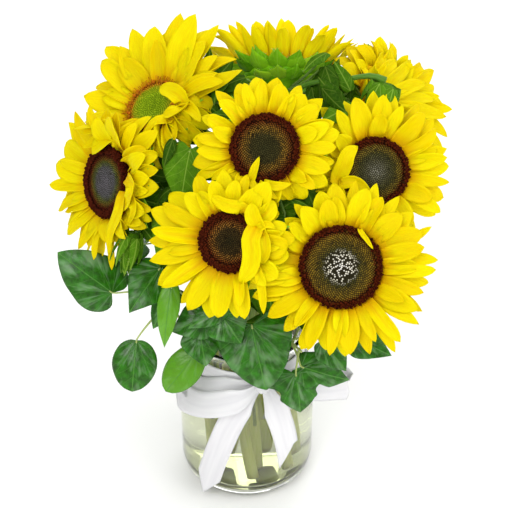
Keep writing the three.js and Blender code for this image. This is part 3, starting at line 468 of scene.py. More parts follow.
# The middle line of a petal, the way across it and the way it faces, row by row in its bloom's frame.
def petalCourse(petal, rows):
    s = np.linspace(0, 1, rows)
    if "path" in petal:
        middle = smoothCurve(petal["path"], rows - 1) + (0, 0, 1) * (petal["lift"] * s)[:, None]
        along = unit(np.gradient(middle, axis=0))
        across = np.cross((0, 0, 1), along + 0.4 * unit(middle[-1] - middle[0]))
        across = unit(across - along * (across * along).sum(axis=1, keepdims=True))
        normal = np.cross(along, across)
    else:
        fine = np.linspace(0, 1, 61)
        slope = petal["lean"] + petal["bend"] * fine + petal["tipBend"] * fine ** 4
        step = petal["length"] / 60
        between = (slope[1:] + slope[:-1]) / 2
        reach = petal["root"] + step * np.concatenate([[0], np.cumsum(np.cos(between))])
        rise = petal["height"] + step * np.concatenate([[0], np.cumsum(np.sin(between))])
        slope, reach, rise = (np.interp(s, fine, line) for line in (slope, reach, rise))
        outward = np.array([math.cos(petal["angle"]), math.sin(petal["angle"]), 0])
        across = np.tile([-outward[1], outward[0], 0], (rows, 1))
        normal = -np.sin(slope)[:, None] * outward + np.cos(slope)[:, None] * np.array([0, 0, 1])
        middle = reach[:, None] * outward + rise[:, None] * np.array([0, 0, 1])
        middle = middle + (petal["length"] * petal["sway"] * s ** 2)[:, None] * across
    roll = (petal["roll"] + petal["twist"] * s)[:, None]
    cos, sin = np.cos(roll), np.sin(roll)
    return middle, across * cos + normal * sin, normal * cos - across * sin


# A petal's points: rows from root to tip, columns from right to left.
def petalGrid(petal, rows, columns):
    s = np.linspace(0, 1, rows)
    middle, across, normal = petalCourse(petal, rows)
    pointed, blunt = (np.interp(s, petalShape["stations"], petalShape[kind]) for kind in ("pointed", "blunt"))
    half = petal["width"] / 2 * (blunt + (pointed - blunt) * petal["point"])
    v = np.linspace(-1, 1, columns)
    fold = petal["cup"] * (0.55 + 0.75 * s * (1 - s) * 4)[:, None]
    bow = np.sin(v * fold) / fold
    lift = (1 - np.cos(v * fold)) / fold * half[:, None]
    ribs = petalShape["ribs"] * np.cos(3 * np.pi * v) * np.sin(np.pi * s)[:, None] ** 0.5
    phase = petal["waveTurns"] * s[:, None] + np.sign(v) * petal["waveShift"]
    wave = petal["wave"] * np.abs(v) ** 2 * np.sin(phase) * np.sin(np.pi * s)[:, None]
    sideways = (bow * half[:, None])[..., None] * across[:, None, :]
    return middle[:, None, :] + sideways + (lift + ribs + wave)[..., None] * normal[:, None, :]


def foldedList(name, bloom):
    random = rng(bloom["seed"] + 300)
    petals = []
    for path, width, point, tone in foldedPetals.get(name, ()):
        first = Vector(path[0])
        rim = Vector((first.x, first.y, 0)).normalized()
        root = rim * (bloom["disc"] + 0.2) + Vector((0, 0, 2.4))
        overRim = rim * (bloom["disc"] + 1.8) + Vector((0, 0, 8.5))
        petals.append({
            "path": [tuple(root), tuple(overRim), *path], "width": width, "point": point, "tone": tone,
            "roll": 0, "length": 1.2 * (Vector(path[-1]) - first).length + 10,
            "twist": radians(random.uniform(-16, 16)), "cup": random.uniform(0.5, 0.95),
            "wave": random.uniform(1.0, 1.9), "waveTurns": random.uniform(8, 12),
            "waveShift": random.uniform(0, 3),
        })
    return petals


def petalList(bloom):
    random = rng(bloom["seed"])
    spread = lambda amount: amount * random.uniform(-1, 1)
    rows = [  # front, back and inner row: lean, length, place round, and how far out and up the roots are
        {"lean": 0, "scale": 0.95, "offset": 0.0, "out": 0.2, "lift": 2.2},
        {"lean": -16, "scale": 1.03, "offset": 0.5, "out": 0.8, "lift": 0.9},
        {"lean": 13, "scale": 0.74, "offset": 0.25, "out": -0.4, "lift": 2.8},
    ]
    petals = []
    for row, count in zip(rows, bloom["rows"]):
        for k in range(count):
            degrees = 360 * (k + row["offset"] + spread(0.2)) / count
            lean, bend, scale = 0, 0, 1
            for low, high, *curl in bloom["curls"]:
                if low <= degrees <= high or low <= degrees - 360 <= high:
                    lean, bend, scale = curl
                    break
            crumpled = abs(bend) > petalShape["crumpledBend"]
            folded = crumpled or random.uniform() < 0.3
            petals.append({
                "angle": radians(degrees),
                "root": bloom["disc"] + row["out"],
                "height": row["lift"],
                "lean": radians(bloom["lean"] + row["lean"] + lean + spread(6)),
                "bend": radians(bloom["bend"] + bend + spread(14)),
                "tipBend": radians(spread(34) - 6),
                "length": bloom["length"] * row["scale"] * scale * (1 + spread(0.1)),
                "width": bloom["width"] * (1 + spread(0.3)),
                "point": random.uniform(0, 0.85) if row["offset"] == 0 else random.uniform(0.3, 1.1),
                "sway": spread(0.1),
                "roll": radians(8 + spread(5)),
                "twist": radians(spread(80 if crumpled else 26)),
                "cup": random.uniform(0.75, 1.25) if folded else random.uniform(*petalShape["cup"]),
                "wave": petalShape["wave"] * random.uniform(0.3, 1.2),
                "waveTurns": random.uniform(7, 12),
                "waveShift": random.uniform(0, 3),
                "tone": random.uniform(0, 1),
            })
    return petals


def petalMaterial():
    material, shader, link = newMaterial("freshRayPetal")  # thin, satin and lit through, with lengthwise ribs
    tone = addNode(material, "Attribute", attribute_name="tone")
    along = addNode(material, "Attribute", attribute_name="share")
    flat = addNode(material, "UVMap", uv_map="flat")
    body = addNode(material, "ValToRGB", {"Fac": tone.outputs["Fac"]})
    body.color_ramp.elements[0].color = linear("#DEC800")
    body.color_ramp.elements.new(0.5).color = linear("#E6D800")
    body.color_ramp.elements[2].color = linear("#FFEA10")
    # the root is orange: partly the petal's own colour, partly painted shade where the petals crowd round the
    # disc
    base = addNode(material, "MapRange", {"Value": along.outputs["Fac"], "From Min": 0.0, "From Max": 0.36})
    rootOrangeAndShade = addNode(material, "Mix", {
        "Factor": base.outputs["Result"], 6: linear("#D99A00"), 7: body.outputs["Color"],
    }, data_type="RGBA")
    # ribs about 1 mm apart, drawn out along the petal
    stripes = addNode(material, "Mapping", {"Vector": flat.outputs["UV"], "Scale": (1.1, 0.09, 1)})
    grain = addNode(material, "TexNoise", {"Vector": stripes.outputs["Vector"], "Scale": 1.0, "Detail": 3.0})
    streak = addNode(material, "MapRange", {
        "Value": grain.outputs["Fac"], "From Min": 0.32, "From Max": 0.68, "To Min": 0.24, "To Max": 0.0,
    })
    streaked = addNode(material, "Mix", {
        "Factor": streak.outputs["Result"], 6: rootOrangeAndShade.outputs[2], 7: linear("#C48400"),
    }, data_type="RGBA")
    # painted shade: an orange line in the fold down the middle of a petal, near its root, given by pick
    creaseShade = addNode(material, "Attribute", attribute_name="pick")
    amount = addNode(material, "Math", {
        0: creaseShade.outputs["Fac"], 1: 0.8,
    }, operation="MULTIPLY", use_clamp=True)
    folded = addNode(material, "Mix", {
        "Factor": amount.outputs[0], 6: streaked.outputs[2], 7: linear("#CC8600"),
    }, data_type="RGBA")
    link(folded.outputs[2], shader.inputs["Base Color"])
    bump = addNode(material, "Bump", {"Height": grain.outputs["Fac"], "Distance": 0.0006, "Strength": 0.55})
    link(bump.outputs["Normal"], shader.inputs["Normal"])
    shader.inputs["Roughness"].default_value = 0.6
    shader.inputs["Specular IOR Level"].default_value = 0.05
    shader.inputs["Subsurface Weight"].default_value = 0.35
    shader.inputs["Subsurface Radius"].default_value = (1.0, 0.7, 0.05)
    shader.inputs["Subsurface Scale"].default_value = 0.002
    return material


def makePetals(name, bloom, material):
    matrix = bloomMatrix(bloom)
    made = growingMesh()
    owner = name + "_petals"
    rows, columns = petalShape["rowsAlong"], petalShape["columns"]
    s = np.repeat(np.linspace(0, 1, rows), columns)
    v = np.tile(np.linspace(-1, 1, columns), rows)

    def coarseShape(petal):
        grid = petalGrid(petal, *petalShape["coarse"])
        return turned(grid.reshape(-1, 3), matrix), gridFaces(grid)

    for petal in foldedList(name, bloom) + petalList(bloom):
        if "path" in petal:
            tries = [{**petal, "lift": lift} for lift in petalShape["liftTries"]]
        else:
            tries = [
                {**petal, "length": petal["length"] * scale, "lean": petal["lean"] + radians(step)}
                for scale in petalShape["lengthTries"] for step in petalShape["leanTries"]
            ]
        best = clearest(((tried, coarseShape(tried)) for tried in tries), (owner, name + "_stem"))
        points, faces = bladeShell(petalGrid(best, rows, columns), petalShape["thickness"])
        shift = 31 * best["tone"]  # so that no two petals have the same streaks
        uv = np.stack([v * best["width"] / 2 + shift, s * best["length"]], axis=1)
        # painted shade along the fold in the middle of a petal near its root, stronger where it is cupped or
        # folded
        depth = 0.9 if "path" in best or best["cup"] > 0.7 else 0.35
        creaseShade = best["tone"] * depth * np.exp(-(v / 0.16) ** 2) * (1 - s)
        # pale lightens all of a bloom's petals: painted light
        tone = np.full(len(s), best["tone"] * 0.5 + bloom.get("pale", 0))
        values = np.stack([tone, s, creaseShade], axis=1)
        made.add(turned(points, matrix), faces, 0, np.tile(uv, (2, 1)), np.tile(values, (2, 1)))
        place(owner, *coarseShape(best))
    inner, outer = bloom["disc"] - head["ringWidth"], bloom["disc"] + head["ringBeyond"]
    bottom, top = gap, gap + head["ringHeight"]
    points, faces = ringShell([(inner, bottom), (outer, bottom), (outer, top), (inner, top)], 64)
    made.add(turned(points, matrix), faces, 0, None, (0.2, 0.05, 0))
    return made.piece("petals_" + name, [material])


# Florets: spacing in millimetres, and the share of the radius past which they are open. Zones go out from the
# middle, each with where it starts, the colour between the florets and the colour of their tips.
floretKinds = {
    "speckled": {"spacing": 1.75, "open": 0.86, "zones": [
        (0.0, "#2E2A1C", "#F4F1EA"), (0.36, "#2B2817", "#D8D2BE"), (0.46, "#2A2814", "#4A471F"),
        (0.78, "#3A2C10", "#8A6E1E"), (0.87, "#2B0B04", "#5A2108"), (1.0, "#240802", "#4A1706")]},
    "dark": {"spacing": 1.7, "open": 0.82, "zones": [
        (0.0, "#25240F", "#3B3A20"), (0.42, "#25210F", "#45401F"), (0.62, "#2C1F0C", "#8C6A24"),
        (0.8, "#2E1206", "#6E3A12"), (0.85, "#2B0B04", "#5E220B"), (1.0, "#240802", "#4A1706")]},
    "golden": {"spacing": 1.7, "open": 0.76, "zones": [
        (0.0, "#1F1B0C", "#37311A"), (0.44, "#241A0B", "#4A3B1C"), (0.58, "#2E1A08", "#94682A"),
        (0.7, "#2C1206", "#7E4A1A"), (0.78, "#2A0C04", "#5E240C"), (1.0, "#240802", "#4A1706")]},
    "grey": {"spacing": 1.7, "open": 0.85, "zones": [
        (0.0, "#33321F", "#8A887A"), (0.34, "#2E2D1A", "#5A5840"), (0.55, "#2A2814", "#4C4A24"),
        (0.76, "#3A2C10", "#7E6A22"), (0.86, "#2B0B04", "#5A2108"), (1.0, "#240802", "#4A1706")]},
    "velvet": {"spacing": 1.8, "open": 0.8, "zones": [
        (0.0, "#3A3836", "#77737A"), (0.42, "#33312A", "#68666A"), (0.56, "#2C2C10", "#66702E"),
        (0.66, "#3A2C10", "#7A5A1C"), (0.74, "#2B0B04", "#5E2410"), (1.0, "#240802", "#4A1706")]},
    "green": {"spacing": 1.9, "open": 0.93, "zones": [
        (0.0, "#5C7A08", "#93AE18"), (0.5, "#6A8A0A", "#9DB61C"), (0.78, "#7A8A0A", "#B0B020"),
        (0.9, "#9A6A10", "#D08A14"), (0.96, "#8A4A0C", "#C87414"), (1.0, "#8A4A0C", "#C87414")]},
}


def discMaterial(kind):
    material, shader, link = newMaterial(kind + "DiscFlorets")  # dull packed florets, darker between the tips
    share = addNode(material, "Attribute", attribute_name="share")
    rise = addNode(material, "Attribute", attribute_name="tone")
    pick = addNode(material, "Attribute", attribute_name="pick")
    blur = addNode(material, "Math", {0: pick.outputs["Fac"], 1: 0.07, 2: -0.035}, operation="MULTIPLY_ADD")
    where = addNode(material, "Math", {0: share.outputs["Fac"], 1: blur.outputs[0]}, operation="ADD")
    ramps = []
    for column in (1, 2):
        ramp = addNode(material, "ValToRGB", {"Fac": where.outputs[0]})
        zones = floretKinds[kind]["zones"]
        for element, zone in zip((0, 1), (zones[0], zones[-1])):
            ramp.color_ramp.elements[element].position = zone[0]
            ramp.color_ramp.elements[element].color = linear(zone[column])
        for zone in zones[1:-1]:
            ramp.color_ramp.elements.new(zone[0]).color = linear(zone[column])
        ramps.append(ramp)
    tip = addNode(material, "MapRange", {"Value": rise.outputs["Fac"], "From Min": 0.5, "From Max": 0.95})
    shade = addNode(material, "Math", {0: pick.outputs["Fac"], 1: 0.75, 2: 0.4}, operation="MULTIPLY_ADD")
    amount = addNode(material, "Math", {
        0: tip.outputs["Result"], 1: shade.outputs[0],
    }, operation="MULTIPLY", use_clamp=True)
    mixed = addNode(material, "Mix", {
        "Factor": amount.outputs[0], 6: ramps[0].outputs["Color"], 7: ramps[1].outputs["Color"],
    }, data_type="RGBA")
    link(mixed.outputs[2], shader.inputs["Base Color"])
    shader.inputs["Roughness"].default_value = 0.85
    shader.inputs["Specular IOR Level"].default_value = 0.06
    return material


discShape = {
    "sides": 48, "rim": 0.985, "goldenAngle": 137.508, "speckledTo": 0.4, "root": 0.5,
    "faceStations": (0.985, 0.95, 0.9, 0.8, 0.65, 0.5, 0.35, 0.2, 0.1),
    "open": {"wide": 1.15, "tall": (2.0, 3.4), "lean": 48, "stray": 12},
    "bud": {"wide": 0.98, "tall": (0.6, 1.25), "lean": 24, "stray": 5},
    "stamens": 110, "stamenReach": (3.5, 8.0), "stamenRise": (1.5, 5.5),
}


# Height of a disc's face at a share of its radius.
def faceHeight(bloom, share):
    edge = np.maximum(0, (share - 0.9) / 0.1)
    return head["discFace"] + bloom["crown"] * (1 - share ** 2) - 1.2 * edge ** 2


# A closed floret: six sides and a blunt tip.
def budFloret():
    turns = np.linspace(0, 2 * np.pi, 6, endpoint=False)
    rings = [(0.52, -0.6), (0.5, 0.55), (0.3, 0.9)]
    points = [(r * math.cos(t), r * math.sin(t), h) for r, h in rings for t in turns] + [(0, 0, 1.0)]
    at = lambda row, k: row * 6 + k % 6
    faces = [(at(r, k), at(r, k + 1), at(r + 1, k + 1), at(r + 1, k)) for r in range(2) for k in range(6)]
    faces += [(at(2, k), at(2, k + 1), 18) for k in range(6)] + [tuple(range(5, -1, -1))]
    return np.array(points), faces


# An open floret: a tube of five sides that ends in a star of five points round its stamens.
def openFloret():
    onRing = lambda radius, turn, height: (radius * math.cos(turn), radius * math.sin(turn), height)
    points = [onRing(0.3, 2 * math.pi * k / 5, -0.4) for k in range(5)]
    for k in range(10):
        radius, height = (0.36, 0.72) if k % 2 else (0.78, 1.0)
        points.append(onRing(radius, math.pi * k / 5, height))
    points += [(0, 0, 0.45), (0.1, 0.05, 1.35)]
    faces = [tuple(range(4, -1, -1))]
    for k in range(5):
        a, b = k, (k + 1) % 5
        tip, notch, nextTip = 5 + 2 * k, 6 + 2 * k, 5 + (2 * k + 2) % 10
        faces += [(a, b, notch), (a, notch, tip), (b, nextTip, notch), (tip, notch, 16), (notch, nextTip, 16)]
    return np.array(points), faces


def makeDisc(name, bloom, materials):
    kind = floretKinds[bloom["florets"]]
    random = rng(bloom["seed"] + 500)
    matrix = bloomMatrix(bloom)
    radius, root = bloom["disc"], discShape["root"]
    made = growingMesh()
    inner = radius - head["ringWidth"] - gap
    profile = [(0, gap), (inner, gap), (inner, head["discLift"])]
    profile += [(radius - 0.8, head["discLift"]), (radius - 0.5, head["discFace"] - 2.4)]
    stations = (*discShape["faceStations"], 0)
    profile += [(radius * share, float(faceHeight(bloom, share)) - root) for share in stations]
    points, faces = latheShell(profile, discShape["sides"])
    spread = np.linalg.norm(points[:, :2], axis=1) / radius
    values = np.stack([np.zeros(len(points)), spread, np.full(len(points), 0.5)], axis=1)
    made.add(turned(points, matrix), faces, 0, None, values)
    place(name + "_disc", turned(points, matrix), faces)

    shapes = {"bud": budFloret(), "open": openFloret()}
    count = int(math.pi * radius ** 2 / kind["spacing"] ** 2)
    for k in range(count):
        share = discShape["rim"] * math.sqrt((k + 0.5) / count)
        turn = k * radians(discShape["goldenAngle"])
        form = "open" if share > kind["open"] else "bud"
        speckled = bloom["florets"] == "speckled" and share < discShape["speckledTo"]
        points, faces = shapes[form]
        grown = discShape[form]
        wide = kind["spacing"] * grown["wide"] * random.uniform(0.85, 1.15)
        tall = random.uniform(*grown["tall"])
        if speckled:
            tall = random.uniform(0.5, 2.0)
        lean = radians(grown["lean"]) * share ** 3 + radians(grown["stray"]) * random.uniform(-1, 1)
        tilt = Matrix.Rotation(turn, 3, "Z") @ Matrix.Rotation(lean, 3, "Y")
        tilt = tilt @ Matrix.Rotation(random.uniform(0, 6), 3, "Z")
        height = float(faceHeight(bloom, share)) - root
        at = (radius * share * math.cos(turn), radius * share * math.sin(turn), height)
        local = points * (wide, wide, tall) @ np.array(tilt).T + at
        pick = random.uniform(0, 1)
        if speckled:  # about half of them are pale, and the others dark
            pick = 1.0 if random.uniform() < 0.5 else 0.02
        dim = 0.12 if pick < 0.03 else 1
        tone = np.clip(points[:, 2], 0, 1) * dim
        values = np.stack([tone, np.full(len(points), share), np.full(len(points), pick)], axis=1)
        made.add(turned(local, matrix), faces, 0, None, values)
    if bloom["florets"] == "green":
        addStamens(made, bloom, matrix, random)
    return made.piece("disc_" + name, [materials[bloom["florets"]]])


# Loose brown stamens that stand out between the disc and the petals of the greenest bloom.
def addStamens(made, bloom, matrix, random):
    count = discShape["stamens"]
    for k in range(count):
        turn = 2 * math.pi * (k + random.uniform(-0.4, 0.4)) / count
        reach, rise = random.uniform(*discShape["stamenReach"]), random.uniform(*discShape["stamenRise"])
        out = np.array([math.cos(turn), math.sin(turn), 0])
        root = bloom["disc"] * 0.94 * out + (0, 0, head["discFace"] - 1.5)
        path = [root, root + out * reach * 0.45 + (0, 0, rise * 0.8), root + out * reach + (0, 0, rise)]
        points, faces = tubeShell(path, [0.3, 0.22, 0.34], 4)
        made.add(turned(points, matrix), faces, 0, None, (0.9, 0.97, random.uniform(0, 1)))


# Leaves on the stems, where the model has them: on which, how far down it the stalk starts, stalk end, tip,
# the way the leaf faces, width and outline.
front = (0, -0.78, 0.62)
stemLeaves = [
    ("top_left", 0.25, (-48, -25.9, 392.1), (-59, -48.9, 345.1), front, 44, "heart"),
    ("centre", 0.3, (26, -46, 363), (38, -64, 329), front, 34, "ovate"),
    ("right", 0.25, (66, -34, 362), (54, -52, 322), front, 34, "ovate"),
    ("left", 0.25, (-60, -36, 336), (-78, -56, 296), front, 36, "ovate"),
    ("top_right", 0.25, (84, -8, 421), (64, -14, 413), front, 18, "ovate"),
    ("left", 0.35, (-76, 8, 324), (-91, -14, 284), front, 42, "ovate"),
    ("low_left", 0.3, (19, -50, 283), (24, -80, 232), front, 42, "ovate"),
    ("centre", 0.25, (-24, -12, 326), (-44, -26, 296), front, 32, "ovate"),
    ("top_back", 0.3, (14, 92, 340), (2, 138, 300), (0, 0.6, 0.8), 48, "ovate"),
    ("top_right", 0.35, (88, 78, 312), (118, 112, 276), (0.41, 0.51, 0.76), 46, "ovate"),
    ("top_left", 0.4, (-58, 74, 318), (-82, 116, 280), (-0.41, 0.51, 0.76), 46, "ovate"),
]

# Each vine's path up from the water and its leaves, the topmost first, as on the stems.
vines = {
    "ivy_front": {"path": [(7, -45, 92), (7, -45, 165), (10, -62, 206), (4, -82, 238)], "leaves": [
        ((5, -88, 247), (16, -111, 190), front, 64, "broad"),
        ((-21, -96, 264), (-5, -106, 240), front, 40, "ovate"),
        ((-17, -90, 272), (-51, -101, 255), front, 22, "narrow"),
    ]},
    "ivy_front_right": {"path": [(27, -37, 92), (27, -37, 165), (38, -58, 204), (50, -76, 206)], "leaves": [
        ((45, -82, 185), (51, -87, 142), front, 54, "lobed"),
        ((50, -78, 190), (95, -72, 166), front, 34, "lobed"),
        ((68, -80, 223), (90, -93, 197), front, 28, "narrow"),
    ]},
    "ivy_right": {"path": [(44, -12, 92), (44, -12, 165), (61.3, -30.5, 207.5), (88, -52, 216)], "leaves": [
        ((95, -70, 219), (131, -82, 206), front, 32, "ovate"),
        ((96, -18, 232), (132, -8, 205), (0.6, -0.3, 0.75), 44, "ovate"),
        ((84, 22, 240), (118, 46, 214), (0.6, 0.3, 0.75), 42, "ovate"),
    ]},
    "ivy_front_left": {"path": [
        (-29, -35, 92), (-29, -35, 165), (-31.4, -54.3, 204.8), (-38, -74, 236),
    ], "leaves": [
        ((-34, -84, 254), (-66, -87, 238), front, 36, "ovate"),
        ((-41, -82, 232), (-37, -94, 204), front, 38, "ovate"),
        ((-43, -68, 202), (-74, -83, 163), front, 32, "oval"),
        ((-65, -80, 286), (-74, -104, 234), front, 20, "narrow"),
    ]},
    "ivy_left": {"path": [(-44, -12, 92), (-44, -12, 165), (-62, -34, 212), (-82, -52, 262)], "leaves": [
        ((-76, -60, 289), (-102.3, -92.9, 265.1), (0.15, -0.61, 0.78), 44, "ovate"),
        ((-121, -48, 252), (-168, -36, 289), front, 50, "broad"),
        ((-100, -62, 208), (-104, -86, 166), front, 40, "oval"),
        ((-66, -64, 266), (-84, -79, 235), front, 24, "narrow"),
    ]},
    "ivy_back_left": {"path": [(-34, 31, 92), (-34, 31, 165), (-52, 54, 212), (-74, 70, 244)], "leaves": [
        ((-84, 82, 256), (-122, 108, 232), (-0.51, 0.41, 0.76), 46, "ovate"),
        ((-66, 84, 222), (-84, 120, 186), (-0.4, 0.6, 0.7), 42, "ovate"),
        ((-96, 36, 244), (-134, 40, 214), (-0.65, 0.1, 0.75), 44, "ovate"),
    ]},
    "ivy_back_right": {"path": [(28, 37, 92), (28, 37, 165), (31, 62.3, 210.4), (44, 84, 236)], "leaves": [
        ((52, 96, 246), (70, 134, 218), (0.3, 0.6, 0.75), 46, "ovate"),
        ((26, 90, 214), (18, 124, 176), (0, 0.71, 0.71), 44, "ovate"),
        ((-4, 96, 240), (-22, 132, 206), (-0.2, 0.69, 0.69), 44, "ovate"),
    ]},
}

# Where stalks start: the steps in which a stem or vine is measured, the share of a vine at its first leaf and
# from leaf to leaf. Then, by the leaf's place among all leaves: the one stalk that is set by its points, and the
# tone of the young leaves.
leafSeats = {
    "stemSteps": 7, "vineSteps": 6, "vineTop": 0.97, "vineStep": 0.07,
    "byPoints": {22: [(-33, -59.9, 214.3), (-38, -64, 209), (-43, -68, 202), (-44.5, -69.2, 200.2)]},
    "young": {22: 0.6, 23: 0.7},
}

# Buds: on which stem, how far down it the stalk starts, foot, the way the tip points, radius, length, and the
# points of the stalk past its start where it doesn't run straight to the bud.
buds = [
    ("top_back", 0.1, (123, 27, 426), (-0.35, -0.35, -0.9), 13, 34,
     [(38, 50, 396), (54, 44, 415), (84, 38, 423), (110, 33, 430), (122, 28, 428)]),
    ("top_right", 0.2, (88, 30, 392), (0, -0.75, 0.65), 9.5, 20, []),
    ("left", 0.2, (-98, -48, 318), (-0.26, -0.24, -1), 8, 40, []),
]

# Leaf outlines as (along the midrib, along the edge, out), as shares of the length and the width.
outlines = {
    "broad": [(0.05, -0.13, 0.2), (0.13, -0.08, 0.38), (0.26, 0.1, 0.51), (0.38, 0.28, 0.52),
              (0.5, 0.45, 0.46), (0.66, 0.63, 0.38), (0.8, 0.79, 0.26), (0.93, 0.93, 0.11)],
    "ovate": [(0.05, -0.1, 0.2), (0.14, -0.02, 0.38), (0.36, 0.24, 0.5), (0.54, 0.47, 0.42), (0.7, 0.66, 0.28),
              (0.87, 0.86, 0.12)],
    "lobed": [(0.05, -0.12, 0.2), (0.12, -0.07, 0.36), (0.24, 0.14, 0.47), (0.31, 0.3, 0.53),
              (0.4, 0.36, 0.36), (0.5, 0.44, 0.3), (0.6, 0.6, 0.32), (0.72, 0.72, 0.23), (0.88, 0.88, 0.09)],
    "oval": [(0.06, 0, 0.16), (0.18, 0.1, 0.36), (0.4, 0.34, 0.5), (0.6, 0.56, 0.5), (0.8, 0.78, 0.38),
             (0.94, 0.93, 0.2)],
    "narrow": [(0.1, 0, 0.3), (0.34, 0.3, 0.5), (0.52, 0.49, 0.44), (0.7, 0.68, 0.32), (0.87, 0.86, 0.14)],
    "heart": [(0.04, -0.09, 0.18), (0.1, -0.02, 0.34), (0.26, 0.22, 0.5), (0.38, 0.36, 0.47), (0.52, 0.5, 0.4),
              (0.66, 0.65, 0.28), (0.78, 0.78, 0.18), (0.9, 0.9, 0.08)],
}
leafShape = {
    "fold": 0.16, "arch": 0.1, "thickness": 0.5, "wave": 0.028, "edgeCurl": 0.05, "into": 0.05,
    "fine": (29, 17), "plain": (21, 13), "coarse": (7, 5), "wide": 36, "rays": (0, 27, 60),
}


# Where a leaf's stalk ends and its tip is, its length, and the ways along, across and out of it.
def leafFrame(base, tip, face):
    base, tip = np.array(base, float), np.array(tip, float)
    along = unit(tip - base)
    across = unit(np.cross(along, face))
    return base, np.linalg.norm(tip - base), along, across, np.cross(across, along)


# The points of a leaf and, for each, how far it is across and along it, in millimetres.
def leafGrid(base, tip, face, width, outline, seed, rows, columns, rays=()):
    random = rng(seed)
    shape = leafShape
    base, length, along, across, normal = leafFrame(base, tip, face)
    line = smoothCurve([(0, 0, 0)] + outlines[outline] + [(1, 1, 0)], rows - 1)
    line[0], line[-1] = (0, 0, 0), (1, 1, 0)
    v = np.linspace(-1, 1, columns)
    u = line[:, :1] + (line[:, 1:2] - line[:, :1]) * np.abs(v) ** 1.25
    out = line[:, 2:3] * v
    phase, turns = random.uniform(0, 6), random.uniform(9, 14)
    bend, sway = random.uniform(-0.05, 0.05), random.uniform(-0.04, 0.04)
    lift = shape["arch"] * length * 4 * u * (1 - u)
    lift = lift - shape["fold"] * width * (np.sqrt(out ** 2 + 0.0009) - 0.03)
    ripple = np.sin(turns * u + phase + 1.7 * np.sign(out))
    lift = lift + shape["wave"] * width * (np.abs(out) * 2) ** 2 * ripple
    lift = lift - shape["edgeCurl"] * width * np.abs(v) ** 4 * (line[:, 2:3] * 2) ** 2 + bend * length * u ** 2
    grooves = np.cos((u * length - np.abs(out) * width * 0.9) * 2 * np.pi / max(7.0, length / 6))
    lift = lift + 0.22 * grooves * np.minimum(1, np.abs(out) * 8)
    for degrees in rays:  # sunk along each vein, so that the blade swells between them
        far = np.abs(out) * width * math.cos(radians(degrees)) - u * length * math.sin(radians(degrees))
        sunk = 0.03 * width * np.exp(-(far / (0.075 * width)) ** 2)
        lift = lift - sunk * np.minimum(1, u * 4 + np.abs(out) * 2)
    sideways = out * width + (sway * length * u ** 2)
    points = base + u[..., None] * length * along + sideways[..., None] * across + lift[..., None] * normal
    return points, np.stack([out * width, u * length], axis=2)


# The stalk of a leaf: from its seat, a little raised in the middle, and a short way along the midrib.
def leafStalk(seat, base, tip, face):
    base, length, along, _, normal = leafFrame(base, tip, face)
    into = leafShape["into"]
    rise = 0.08 * np.linalg.norm(base - seat)
    arch = leafShape["arch"] * length * 4 * into * (1 - into)
    return [seat, (seat + base) / 2 + (0, 0, rise), base, base + along * into * length + normal * arch]


# A point on a curve through points, at a share of its length.
def pointOn(points, steps, share):
    corners = smoothCurve(points, steps)
    return np.array([np.interp(share * steps, np.arange(steps + 1), line) for line in corners.T])


# leaf is its stalk end, tip, facing, width and outline; size is its rows and columns of points
def addLeafBlade(made, slot, leaf, seed, tone, owner, size=leafShape["plain"], rays=()):
    grid, flat = leafGrid(*leaf, seed, *size, rays)
    points, faces = bladeShell(grid, leafShape["thickness"], (True, True))
    pick = rng(seed + 7).uniform(0, 1)
    made.add(points, faces, slot, np.tile(flat.reshape(-1, 2), (2, 1)), (tone, pick, pick))
    low = leafGrid(*leaf, seed, *leafShape["coarse"])[0]
    place(owner, low, gridFaces(low))


# A stalk or vine in a stem's green, with tone as its tone, and its coarse shape.
def addTube(made, path, radii, sides, owner, tone):
    points, faces = tubeShell(path, radii, sides)
    run = runOf(path)
    mean = float(np.mean(radii))
    turns = np.arange(sides) * 2 * np.pi * mean / sides
    uv = np.stack([np.tile(turns, len(path)), np.repeat(run, sides)], axis=1)
    made.add(points, faces, 0, np.concatenate([uv, [(0, 0), (0, run[-1])]]), (tone, 0.5, 0.5))
    place(owner, *tubeShell(path[::max(1, len(path) // 12)], mean, 5))
